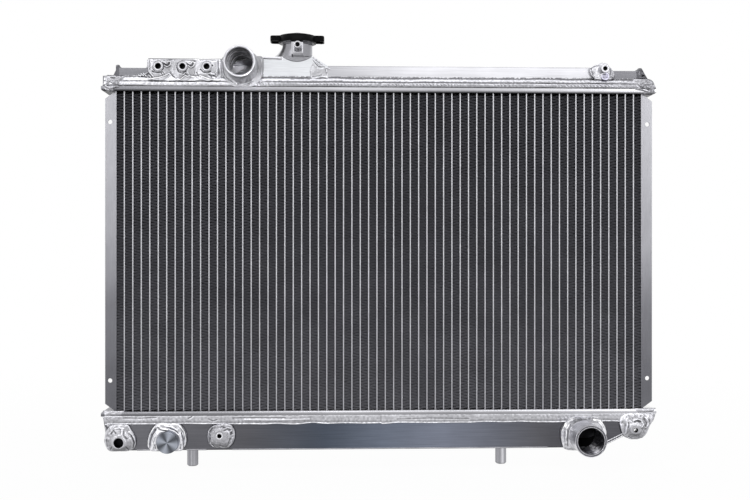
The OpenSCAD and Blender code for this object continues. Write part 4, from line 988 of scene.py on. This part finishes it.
# Overflow nipple's block: raised edges round a hollowed front, on a run of weld at its foot. The edges
# carry painted highlights, and the hollow and the hole painted shade.
v, x = grid(40, -110.2, -97.8, 44)
z = 494.1 + 14.6 * v + 0 * x
out = 30.5 + runs(x, z, (1.3, 0.8, [(-109.2, 509), (-109, 496.4), (-99, 496.4), (-98.8, 509)]),
                  (1.4, -0.7, [(-104, 506), (-104, 500)]), (0.9, -0.6, [(-106.4, 499.4), (-101.6, 499.4)]))
out -= 0.4 * ease(v, 0.97, 1) + 0.4 * ease(v, 0.03, 0)
block_bright = metal("Nipple_block", [(0, grey(214))], roughness=0.3, grain_size=1500, grain_depth=0.05,
                     under=0.35, over=1.05, hollow_shade=0.8, holes=[(-104, 503, 2.7)])
fit(skin_piece("nipple_block_front", skin(x, z, out, 30.0, sharpness=2.5)), block_bright,
    "machined_aluminium")
paint(node["overflow_nipple"], turned_bright)
v, x = grid(12, -110.6, -97.4, 30)
z = 490.6 + 3.6 * v + 0 * x
out = TANK + 0.9 + 1.9 * ease(v, 0, 0.9) + 0.1 * wobble(x, z, 3, 96)
fit(skin_piece("nipple_block_toe", skin(x, z, out, TANK - 2)), neck_grey, "weld_metal")


# --- Upper right boss and gusset --------------------------------------------------------------
# A drilled boss on a small plate, with a round plug of weld under it and filler run round the
# plate's edges.
gusset_sheet = metal("Gusset_sheet", along((263, 216), (280, 212), (288, 186), (296, 150)), roughness=0.34,
                     grain=(1, 1, 0.4), grain_depth=0.1, blotch=0.15, under=0.45, over=1.15, hollow_shade=0.55,
                     holes=[(*RIGHT_BOSS, 2.8)])
paint(node["upper_right_gusset"], gusset_sheet)
paint(node["upper_right_boss"], turned_bright)
fit(skin_piece("right_boss_collar", collar(*RIGHT_BOSS, 2.7, 5.3, TANK + 8.2, 0.9, 97)), weld_white,
    "machined_aluminium")
v, x = grid(50, 262.2, 294.2, 76)
top = np.interp(x, [262.2, 263.4, 268.5, 276, 284, 289.6, 294.2],
                [476.5, 479.6, 482.4, 484.2, 483.6, 479.4, 473.4])
foot = np.interp(x, [262.2, 265, 268.5, 275, 288, 294.2], [475.6, 468.6, 465.4, 463.6, 463.2, 465.4])
z = foot + v * (top - foot)
plug = np.hypot(x - 282.2, (z - 468.2) * 1.05)
out = TANK + 3.4 - 2.2 * ease(z, 468, 463.6) + 1.2 * np.sqrt(np.clip(1 - (plug / 6.0) ** 2, 0, 1))
out += runs(x, z, (0.8, 0.9, [(263, 478.6), (268, 481.6), (275, 483.4)]),
            (0.7, -0.8, [(264.4, 477.6), (268.6, 480), (275, 481.8)]),
            (0.9, 1.0, [(263.4, 476), (265.6, 469.6), (269.4, 466.2)]),
            (0.7, -0.9, [(265.2, 477), (267.4, 471)]), (0.8, 0.9, [(266, 476), (268, 472)]),
            (0.7, -1.0, [(276, 482.4), (276.2, 476), (277.8, 473)]),
            (0.8, -1.2, [(275.4, 469.4), (275.2, 466.6)]),
            (0.7, -0.8, [(287, 482), (287.6, 476), (289, 471)]),
            (0.8, 0.9, [(289.4, 479), (290, 473), (291, 468)]), (0.8, -0.9, [(291.6, 477), (290.8, 474)]),
            (0.8, 0.9, [(279, 471.4), (282.6, 472.6), (286, 470.6)]),
            (0.7, -0.9, [(280, 467), (283.4, 465.8), (286, 466.6)]),
            (1.0, 1.0, [(292.4, 468.4), (292.8, 466)]), (0.7, -0.8, [(277, 465.2), (281, 464.4)]))
out += 0.25 * wobble(x, z, 5, 98) + 0.08 * wobble(x, z, 1.8, 99)
out -= 1.5 * ease(v, 0.96, 1) + 1.6 * ease(v, 0.05, 0)
out -= 1.2 * ease(x, 263.2, 262.2) + 1.2 * ease(x, 293.2, 294.2)
out = np.where(np.hypot(x - RIGHT_BOSS[0], z - RIGHT_BOSS[1]) < BOSS_HOLE, TANK - 5, out)
fit(skin_piece("right_gusset_front",
               skin(x, z, out, np.minimum(TANK - 0.6, out - 0.6), sharpness=2.2, spread=7)), gusset_sheet,
    "tank_aluminium")
turn = around(60)
share = np.linspace(0.02, 1, 22)[:, None]
px, pz = 282.2 + 5.4 * share * np.cos(turn), 468.4 + 5.2 * share * np.sin(turn)
out = TANK + 4.4 + 1.2 * np.sqrt(np.clip(1 - share ** 2, 0, 1)) - 1.4 * ease(share, 0.94, 1)
out = (out + runs(px, pz, (0.7, -0.9, [(278.6, 470.4), (281, 471.4), (284.6, 470.6), (285.6, 468)]),
                  (0.8, 0.7, [(279.6, 468.6), (282.4, 469.4), (284, 467.6)]),
                  (0.7, -0.8, [(279.4, 466.4), (282.4, 465.4), (285, 466)])))
plug_white = metal("Weld_plug", [(0, grey(222, 220, 238))], roughness=0.28, grain_depth=0.08, blotch=0.1,
                   under=0.5, over=1.1, hollow_shade=0.6)
fit(skin_piece("right_boss_plug", skin(px, pz, out, TANK + 2, wrap=True, sharpness=2.4, spread=5)),
    plug_white, "weld_metal")


# --- Ends of the upper tank and header --------------------------------------------------------
# The end plates stand in from the header's ends; the foot of the tank closes over the rim there
# in a thick, lumpy run of weld, drawn up to the end plate.
def end_skin(side, x, z, out, back):
    """The skin of a weld at the right end, or at the left one when side is -1."""
    if side < 0:
        x, z, out = x[:, ::-1], z[:, ::-1], out[:, ::-1]
    return skin(x, z, out, back, sharpness=2.2, spread=7)


def end_bulb(side, tips, seed, *marks):
    """The rounded weld over a header's end, on the front."""
    v = np.linspace(0, 1, 54)[:, None]
    u = np.linspace(0, 1, 60)
    z = 445.6 + v * (466.6 - 445.6) + 0 * u
    start = 318 + 14 * ease(z, 453, 449)
    tip = between(z, tips)
    x = side * (start + u * (tip - start))
    out = (RIM + 0.4 + 1.5 * np.sin(math.pi * np.clip(v, 0, 1)) * ease(u, 0, 0.35)
           + 0.5 * wobble(x, z, 4.5, seed))
    out = out + 0.3 * wobble(x, z, 1.8, seed + 1) - 2.8 * ease(u, 0.84, 1.0) - 1.8 * ease(v, 0.9, 1.0)
    out -= 1.4 * ease(u, 0.12, 0.0) + 1.5 * ease(v, 0.12, 0)
    out += runs(x, z, *marks)
    return end_skin(side, x, z, out, 26.5)


def end_corner(side, tops, low, seed, *marks):
    """Weld that closes the corner between the tank's foot and its end plate."""
    v = np.linspace(0, 1, 40)[:, None]
    x = np.linspace(tops[0][0], tops[-1][0], 46) + 0 * v
    z = low + v * (between(x, tops) - low)
    out = TANK + 0.5 + 0.4 * wobble(x, z, 4, seed) + runs(x, z, *marks) - 0.9 * ease(v, 0.95, 1)
    return end_skin(side, side * x, z, out, 21)


end_weld = metal("End_weld", along((-345, 178), (310, 196), (345, 160)), roughness=0.34, grain_size=1200,
                 grain_depth=0.1, blotch=0.2, under=0.3, over=1.15, hollow_shade=0.75)
fit(skin_piece("header_end_welds",
               end_bulb(1, RIGHT_TIP, 101,
                        (0.9, -2.0, [(327.6, 454.6), (330, 453.4), (333, 452.2), (337, 451)]),
                        (0.8, 1.2, [(325.6, 459), (327.4, 456.4), (330, 456)]),
                        (1.2, 0.8, [(334, 459.6), (339, 459)]), (0.8, -0.9, [(341, 462), (344, 458)]),
                        (0.8, 0.8, [(336, 455), (341, 453.6)])),
               end_bulb(-1, LEFT_TIP, 103,
                        (0.8, -1.6, [(-340, 453.8), (-336, 454.4), (-330, 454), (-322, 453.8)]),
                        (0.8, -1.2, [(-343.6, 461), (-343, 456), (-341, 454.4)]),
                        (0.8, 1.0, [(-341.4, 461.6), (-340.6, 456.6)]),
                        (0.7, -0.8, [(-337, 457), (-334, 455.6)]), (0.7, -0.8, [(-336, 463.4), (-331, 463)]),
                        (0.7, -0.7, [(-344, 451.6), (-339, 449.6), (-336, 446.6)]),
                        (0.9, 0.8, [(-334, 461), (-326, 461)]))), end_weld, "weld_metal")
# The end plates are painted a darker grey than the tank's front, as painted shade.
end_grey = metal("End_plate", [(0, grey(112))], roughness=0.4, blotch=0.2, under=0.6, over=1.2, hollow_shade=0.7)
paint(node["upper_tank_ends"], end_grey)
fit(skin_piece("tank_end_corners",
               end_corner(1, [(323.4, 475.2), (325.6, 478.4), (326.4, 479.8), (329.6, 479.8), (333.4, 472.6),
                              (337.4, 466)], 465, 105, (1.0, -1.6, [(327.4, 475), (327, 472.6)]),
                          (1.2, 1.4, [(330.6, 472.6), (331.4, 471.4)]),
                          (0.8, 0.9, [(330, 478), (333, 471.6), (336, 467)]),
                          (0.8, -1.0, [(328, 469.6), (332, 470)]), (1.0, 0.8, [(328, 467.6), (332, 467.4)])),
               end_corner(-1, [(326.2, 479.8), (328.8, 479.8), (329.6, 474), (331.4, 470), (333, 466)], 465,
                          107)), end_grey, "weld_metal")
bead("block_corner_bead", [[(-290.6, 27.6, 486), (-290.8, 27.8, 478), (-292, 28, 476)],
                           [(-291, 28.2, 470), (-295, 28.4, 467), (-301, 28.4, 466)]], 0.9, weld_bright,
     pitch=3.4, depth=0.3, uneven=1.5)
bead("block_folds", [[(-299, 28.6, 468.6), (-295, 29.2, 465.4)], [(-296, 28.8, 469.4), (-292, 29.6, 465)],
                     [(-302, 28.4, 467), (-299, 28.8, 464.8)]], 0.7, weld_white, pitch=3.4, depth=0.1,
     uneven=0.8)


# --- Lower tank fittings ----------------------------------------------------------------------
# Drain port, turned blank, tapped bosses and the outlet saddle, each welded all round. The welds
# are thick and smooth where they flowed, and ridged where they were stopped and started.
cast_soft = metal("Fitting_weld",
                  along((-345, 190), (-300, 196), (-290, 220), (-240, 220), (-215, 172), (-180, 172),
                        (300, 196), (345, 192)), roughness=0.32, grain_size=1000, grain_depth=0.12,
                  blotch=0.2, under=0.35, over=1.15, hollow_shade=0.7,
                  holes=[(x, z, r + 0.1) for x, z, r in LOWER_HOLES])
port = mound(*DRAIN, 5.7, [(0, 21), (45, 21.3), (63, 24.6), (90, 23), (120, 24.6), (140, 21.6), (180, 18.4),
                           (200, 17.7), (225, 16.4), (270, 11.4), (315, 15.5), (340, 20.6)],
             [(0, 8.4), (0.08, 9.3), (0.2, 8.8), (0.42, 6.2), (0.62, 4.2), (0.85, 3.0), (0.95, 2.2), (1, 0)],
             111, marks=[(1.0, 1.2, [(-313, 24), (-309.6, 21), (-307, 17), (-304.8, 10), (-305.8, 3)]),
                         (0.8, -1.2, [(-310, 19), (-307, 11), (-308, 4)]),
                         (0.8, -1.4, [(-335, 22), (-332, 25.5), (-329, 23)]),
                         (1.5, 1.1, [(-338.6, 17), (-338, 16)]), (1.2, 0.9, [(-337.4, 22), (-336.6, 23)]),
                         (1.5, 1.1, [(-325, 21), (-324, 21)]),
                         (0.8, -1.0, [(-319, 26), (-318.6, 20), (-315, 16)]),
                         (0.8, 0.9, [(-321.6, 27), (-321, 21.6)]), (0.7, -0.9, [(-341, 14), (-340, 6)]),
                         (0.8, 0.8, [(-331, 28), (-325.4, 29), (-320, 28)]),
                         (0.7, -0.8, [(-316, 6), (-314, 1.5)]), (0.7, -0.8, [(-334, 6), (-336, 2)])])
fit(skin_piece("drain_port_weld", port), cast_soft, "tank_aluminium", "drain_port")

blank = mound(*BLANK, 13.0,
              [(0, 23.5), (30, 25.8), (53, 26.8), (90, 23), (125, 27.6), (147, 26.3), (180, 26.5),
               (196, 26.6), (215, 24), (270, 13.6), (333, 21.3)],
              [(0, 4.6), (0.2, 5.0), (0.5, 4.2), (0.78, 4.0), (0.92, 2.8), (1, 0)], 121,
              marks=[(1.0, 1.2, [(-290, 4), (-289.5, 12), (-287, 22), (-282, 30)]),
                     (0.9, -1.6, [(-287.5, 4), (-287, 12), (-284.5, 20), (-280, 27)]),
                     (0.8, 0.8, [(-284, 4), (-283.6, 12), (-281, 19)]),
                     (0.9, 1.2, [(-243, 5), (-242.8, 14), (-245, 24), (-250, 31)]),
                     (0.8, -1.4, [(-246, 3), (-246.5, 15), (-248.6, 22)]),
                     (1.0, 1.0, [(-276, 31), (-273, 28), (-266, 26.4)]),
                     (0.7, -1.1, [(-277.6, 28.6), (-273.6, 25.8), (-266, 25.2)]),
                     (1.0, 1.1, [(-268, 31), (-260, 30), (-254, 26)]),
                     (0.7, -1.1, [(-262, 27.6), (-256, 25.4), (-252.6, 22)]),
                     (0.7, -0.7, [(-249, 8), (-250, 3)]), (0.7, 0.8, [(-279, 7), (-278, 2.5)]),
                     (0.7, -0.8, [(-281, 8), (-280.4, 3)])])
fit(skin_piece("blank_boss_weld", blank), cast_soft, "tank_aluminium", "blank_boss")


def disc(name, x, z, r, start, height, chamfer, finish):
    """A turned disc with fine face rings."""
    turn = around(96)
    radii = np.concatenate([np.linspace(0.01, r - chamfer, 40), [r, r]])[:, None]
    rise = np.concatenate([height + 0.03 * np.sin(np.linspace(0.01, r - chamfer, 40) * 9),
                           [height - chamfer, 0]])[:, None]
    return fit(skin_piece(name,
                          skin(x + radii * np.cos(turn), z + radii * np.sin(turn), start + rise + 0 * turn,
                               start - 1, wrap=True)), finish, "machined_aluminium")


def turned_face(name, x, z, low, high, sectors, twist):
    """Turned metal with a painted sheen in bow-tie sectors about the centre, as faced metal shows under
    light, over fine face rings.
    """
    made = metal(name, [(0, grey(128))], roughness=0.3, grain_depth=0.02, blotch=0.02, under=0.8, over=1.1)
    tree = made.node_tree
    shader = tree.nodes["Principled BSDF"]
    split = add_node(tree, "ShaderNodeSeparateXYZ")
    wire(tree, add_node(tree, "ShaderNodeTexCoord").outputs["Object"], split.inputs[0])
    dx = maths(tree, "SUBTRACT", split.outputs["X"], x / 1000 + CORE_X)
    dz = maths(tree, "SUBTRACT", split.outputs["Z"], z / 1000)
    turn = maths(tree, "ARCTAN2", dz, dx)
    painted_sheen = maths(tree, "MULTIPLY",
                maths(tree, "COSINE", maths(tree, "MULTIPLY_ADD", turn, float(sectors), twist)), 0.5)
    far = maths(tree, "SQRT", maths(tree, "ADD", maths(tree, "MULTIPLY", dx, dx),
                                    maths(tree, "MULTIPLY", dz, dz)))
    rings = maths(tree, "MULTIPLY", maths(tree, "SINE", maths(tree, "MULTIPLY", far, 9000)), 0.04)
    tone = maths(tree, "ADD", maths(tree, "MULTIPLY_ADD", maths(tree, "ADD", painted_sheen, 0.5), high - low, low),
                 rings)
    colour = add_node(tree, "ShaderNodeCombineColor")
    for channel, share in (("Red", 0.9), ("Green", 0.96), ("Blue", 1.1)):
        wire(tree, maths(tree, "MULTIPLY", tone, share), colour.inputs[channel])
    wire(tree, colour.outputs[0], shader.inputs["Base Color"])
    return made


disc("blank_boss_face", *BLANK, 13.4, TANK + 1, 11, 0.7,
     turned_face("Faced_disc", *BLANK, 0.1, 0.42, 4, 1.2))

left_boss = mound(*LEFT_BOSS, 2.6,
                  [(0, 19.5), (35, 20.2), (60, 17.8), (90, 14.5), (130, 15.6), (180, 16.5), (220, 18.4),
                   (250, 17.2), (270, 16), (307, 20), (335, 19.7)],
                  [(0, 9.0), (0.35, 8.8), (0.55, 7.6), (0.78, 4.4), (0.93, 3.0), (1, 0)], 131, rough=0.35,
                  marks=[(0.9, 1.2, [(-196, 27.6), (-191, 29.5), (-187, 28)]),
                         (0.8, -1.2, [(-195, 25.4), (-191, 27), (-188, 25.6)]),
                         (1.1, -1.5, [(-186.5, 23), (-186.4, 21)]), (0.7, -1.2, [(-211, 8), (-207, 4)]),
                         (0.8, 0.9, [(-213, 10), (-209, 5)]),
                         (0.8, 0.9, [(-213, 28), (-208, 31), (-201, 31.6)]),
                         (0.7, -0.9, [(-214, 24), (-210, 28.6)]),
                         (0.8, 0.8, [(-185, 16), (-187, 9), (-191, 5)]),
                         (0.7, -0.9, [(-188, 15), (-190, 10)]), (0.7, -0.8, [(-201, 6), (-197, 5)])])
fit(skin_piece("lower_left_boss_weld", left_boss), cast_soft, "tank_aluminium", "lower_left_boss")
fit(skin_piece("lower_left_boss_collar", collar(*LEFT_BOSS, 2.7, 4.5, TANK + 8.8, 0.4, 135, 0.03)),
    weld_white, "machined_aluminium")

saddle_cast = metal("Saddle_cast", along((225, 232), (285, 246)), roughness=0.3, grain=(1, 1, 0.35),
                    grain_size=420, grain_depth=0.12, blotch=0.12, under=0.5, over=1.1, hollow_shade=0.6)
saddle = mound(*OUTLET, 19.4,
               [(0, 31), (20, 32), (45, 31), (70, 24.4), (90, 23.5), (115, 25.3), (135, 26.5), (160, 28.5),
                (180, 28.5), (205, 28.6), (220, 28.8), (245, 23), (270, 20.5), (300, 21), (330, 24)],
               [(0, 13), (0.2, 10.5), (0.5, 6.3), (0.8, 4.2), (0.93, 2.8), (1, 0)], 141, rough=0.45,
               floor=-2.4, marks=[(1.0, 1.3, [(229, 1), (226.8, 10), (227, 22), (231, 31)]),
                                  (0.9, -1.6, [(234, 4), (232.5, 12), (233, 24), (237, 31)]),
                                  (1.4, 1.0, [(235.6, 18), (235.4, 16)]),
                                  (1.1, 1.1, [(243, 37), (250, 38.5), (259, 38)]),
                                  (1.1, 1.4, [(268, 37), (276, 35), (281, 28), (284, 20), (285, 12)]),
                                  (0.8, -1.3, [(266, 35), (272, 33), (277, 27), (280, 19), (281, 12)]),
                                  (0.7, 0.8, [(276.5, 22), (277.4, 12)]),
                                  (0.7, -0.9, [(230, 26), (229.6, 14), (231.4, 4)])])
fit(skin_piece("outlet_saddle_weld", saddle), saddle_cast, "tank_aluminium", "outlet_saddle")
# The outlet's colour is painted light and shade: painted shade on the mouth's face and down the bore, with a
# painted highlight streak up the bore's right side and a bright painted reflection low in it.
neck_cast = metal("Neck_cast",
                  [(-0.0757, grey(100)), (-0.0752, grey(104)), (-0.0745, grey(232)), (-0.028, grey(226))],
                  axis="Y", roughness=0.3, grain=(0.4, 1, 0.4), grain_size=420, grain_depth=0.16, blotch=0.15,
                  under=0.75, over=1.05)
paint(node["outlet_neck"], neck_cast)
turn = around(96)
depth = np.linspace(0, 1, 50)[:, None]
radius = (BORE - 0.35 * ease(depth, 0.04, 0.1)
          - 0.3 * np.abs(wobble(turn * 4 + depth * 2, depth * 6, 1.2, 145)) * ease(depth, 0.05, 0.12))
bore_shade_and_glints = metal("Bore_painted_shade", along((236, 110), (250, 60), (258, 90), (264, 215), (267, 70), (271, 60)),
                  roughness=0.2, grain=(1, 0.2, 1), grain_size=260, grain_depth=0.7, blotch=0.4, under=0.7,
                  over=1.8, hollow_shade=1.0, metallic=0.0,
                  across=[(0.0005, 1.9), (0.004, 1.9), (0.006, 0.9), (0.034, 0.8)])
fit(skin_piece("outlet_bore_lining", sleeve(*OUTLET, radius, BORE_WALL, 75.0 - BORE_DEPTH * depth, turn)),
    bore_shade_and_glints, "machined_aluminium")
# Thin bright rings along both edges of the mouth, as painted highlights.
mouth = [[(OUTLET[0] + r * math.cos(a), 75.2, OUTLET[1] + r * math.sin(a)) for a in around(64)]
         for r in (19.2, 16.8)]
bead("outlet_mouth_highlights", mouth, 0.32, weld_white, pitch=9, depth=0.01, uneven=0.1, closed=True)

# The corner lug: plate, boss and weld have flowed together out to the tank's end.
lug = mound(*CORNER_BOSS, 2.6,
            [(0, 18.5), (16, 21.8), (38.4, 31.8), (60, 24.2), (90, 21), (120, 23.3), (140, 24.8), (165, 19.6),
             (180, 18), (195, 17), (215, 15.8), (235, 14), (270, 12.8), (300, 13.9), (315, 15.2),
             (335, 16.6)], [(0, 8.4), (0.22, 8.2), (0.4, 6.2), (0.6, 4.6), (0.85, 3.6), (0.95, 2.6), (1, 0)],
            151, rough=0.45, floor=-3,
            marks=[(0.9, 1.2, [(318, 35), (323, 36.5), (328, 35), (330, 30), (328, 26.5)]),
                   (0.8, -1.2, [(319, 33), (323, 34.4), (326.6, 33)]),
                   (0.8, 1.0, [(333, 38.5), (337, 34), (337, 29), (334, 25.5)]),
                   (0.8, -1.0, [(332, 36), (334.6, 32), (333.6, 27)]),
                   (1.1, 1.2, [(310, 30), (308.5, 24), (308, 19)]), (0.8, -1.1, [(311.6, 32), (311, 26)]),
                   (1.0, -1.4, [(338.2, 35), (338, 33)]), (0.7, -0.8, [(312, 14), (316, 12)]),
                   (0.7, 0.9, [(311, 12), (315, 10.4)])])
fit(skin_piece("corner_lug_weld", lug), cast_soft, "tank_aluminium", "lower_right_boss")
bead("slope_bead", [[(271, 27.4, -0.6), (280, 27.7, 2.2), (290, 27.9, 7.2), (298, 28.2, 11.2),
                     (306, 28.6, 14.6)], [(284, 27.8, 7), (292, 27.9, 11), (299, 28.2, 14.4),
                                          (305, 28.6, 17.6)]], 0.8, weld_white, pitch=3.5, depth=0.2)
bead("lower_edge_bead", [[(-304, 26.9, 0.7), (-295, 26.9, 0.8), (-288, 26.9, 0.8)],
                         [(-243, 26.9, 0.8), (-230, 26.9, 0.8), (-218, 26.9, 0.8)], [(-186, 26.9, 0.8)]
                         + [(a, 26.9, 0.8) for a in range(-170, 230, 20)]], 0.9, neck_grey, pitch=40,
     depth=0.02, uneven=0.1)


def lower_end(side, tips, low, high, seed, *marks):
    """Weld over the end of the lower header and down the tank's end, on the front."""
    v = np.linspace(0, 1, 50)[:, None]
    u = np.linspace(0, 1, 40)
    z = low + v * (high - low) + 0 * u
    tip = between(z, tips)
    x = side * (STRAIGHT + u * (tip - STRAIGHT))
    out = (RIM + 0.3 - 1.6 * ease(z, 40, 32) + 0.8 * ease(u, 0, 0.5) + 0.4 * wobble(x, z, 5, seed)
           + 0.25 * wobble(x, z, 2, seed + 1))
    out += (runs(x, z, *marks) - 3.4 * ease(u, 0.86, 1.0) - 1.4 * ease(u, 0.14, 0.0) - 1.5 * ease(v, 0.1, 0)
            - 1.0 * ease(v, 0.94, 1))
    return end_skin(side, x, z, out, 26.3)


fit(skin_piece("lower_end_welds",
               lower_end(-1, LOW_LEFT_TIP, 29, 50, 161,
                         (0.8, -1.2, [(-345, 44.6), (-335, 44.4), (-322, 44.4)]),
                         (0.9, 0.9, [(-340, 34), (-332, 33.4), (-322, 33.6)]),
                         (0.7, -0.8, [(-341, 40), (-338, 36)])),
               lower_end(1, LOW_RIGHT_TIP, 27, 49.6, 163, (0.8, -1.0, [(345, 45), (335, 44.6), (324, 44.4)]),
                         (0.8, 0.9, [(343, 42), (340, 36)]), (0.7, -0.9, [(340, 42), (336, 38)]))), weld_soft,
    "weld_metal")
bead("tank_edge_weld", [[(-337.6, 26, 0.4), (-340, 26.4, 3), (-342, 26.6, 7), (-343.4, 26.6, 12),
                         (-342.4, 26.8, 17), (-341, 27, 21), (-341.6, 27.2, 25), (-343, 27.6, 30)]], 1.2,
     weld_soft, pitch=4.4, depth=0.2, uneven=1.4)

# Locating pins: turned studs with a small fillet weld at the root.
PIN_X = 0.197
# The pins' colour carries upright painted highlights round each stud and painted shade towards their lower
# ends.
pin_highlights = [(-7, 105), (-5.6, 170), (-2.4, 140), (-0.8, 168), (0.2, 250), (1, 150), (2, 215), (2.8, 150),
           (5.4, 160), (7, 104)]
pin_metal = metal("Pin_metal", [(side * PIN_X + a / 1000, grey(b)) for side in (-1, 1) for a, b in pin_highlights],
                  roughness=0.3, grain=(1, 1, 0.15), grain_depth=0.06, under=0.7,
                  across=[(-0.0249, 0.8), (-0.0235, 0.85), (-0.022, 1), (0, 1)])
paint(node["locating_pins"], pin_metal)
for i, place in enumerate((-PIN_X, PIN_X)):
    ring = [((place - CORE_X) * 1000 + 7.4 * math.cos(a), 7.4 * math.sin(a), -0.5) for a in around(40)]
    bead(f"pin_weld_{i + 1}", [ring], 1.0, weld_soft, pitch=4.0, depth=0.2, uneven=0.5, closed=True)


# --- Filler cap -------------------------------------------------------------------------------
# A black moulded cover with two ears, riveted to a steel disc and a bell. Under the bell a coil
# spring holds the pressure plate down, and a smaller one holds the vacuum valve up in its middle.
cap_black = bpy.data.materials.new("Cap_black")
cap_black.use_nodes = True
shader = cap_black.node_tree.nodes["Principled BSDF"]
shader.inputs["Base Color"].default_value = (0.004, 0.004, 0.0045, 1)
shader.inputs["Roughness"].default_value = 0.3
shader.inputs["Specular IOR Level"].default_value = 0.05
paint(node["cap_cover"], cap_black)

cover = plain_mesh("cap_moulding", [], [])
shape = merged(node["cap_cover"])
bmesh.ops.dissolve_limit(shape, angle_limit=math.radians(2), verts=shape.verts, edges=shape.edges)
corners = [e for e in shape.edges if len(e.link_faces) == 2 and e.calc_face_angle() > 0.9
           and max(abs(v.co.x - CORE_X - FILLER_X / 1000) for v in e.verts) > 0.029]
bmesh.ops.bevel(shape, geom=corners, offset=0.0013, segments=3, profile=0.5, affect="EDGES",
                clamp_overlap=False)
shape.to_mesh(cover.data)
shape.free()
fit(cover, cap_black, "cap_black", "cap_cover", body="cap_cover")
steel = metal("Cap_steel", [(0, grey(170))], roughness=0.3)
rubber = metal("Seal_rubber", [(0, grey(45))], roughness=0.8, metallic=0)
for name in ("cap_rivet", "spring_disc", "valve_bell", "pressure_spring", "pressure_plate", "vacuum_valve",
             "vacuum_spring"):
    paint(node[name], steel)
for name in ("upper_gasket", "pressure_seal"):
    paint(node[name], rubber)


def sprung(name, body):
    """A coil spring as a piece of its own: a smoothly shaded copy of the CAD node, on the given body."""
    shape = merged(node[name])
    piece = plain_mesh(name + "_coil", [], [])
    shape.to_mesh(piece.data)
    shape.free()
    piece.data.shade_smooth()
    fit(piece, steel, "cap_steel", name, body=body)
    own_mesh(piece)


sprung("pressure_spring", "cap_stack")
sprung("vacuum_spring", "pressure_valve")
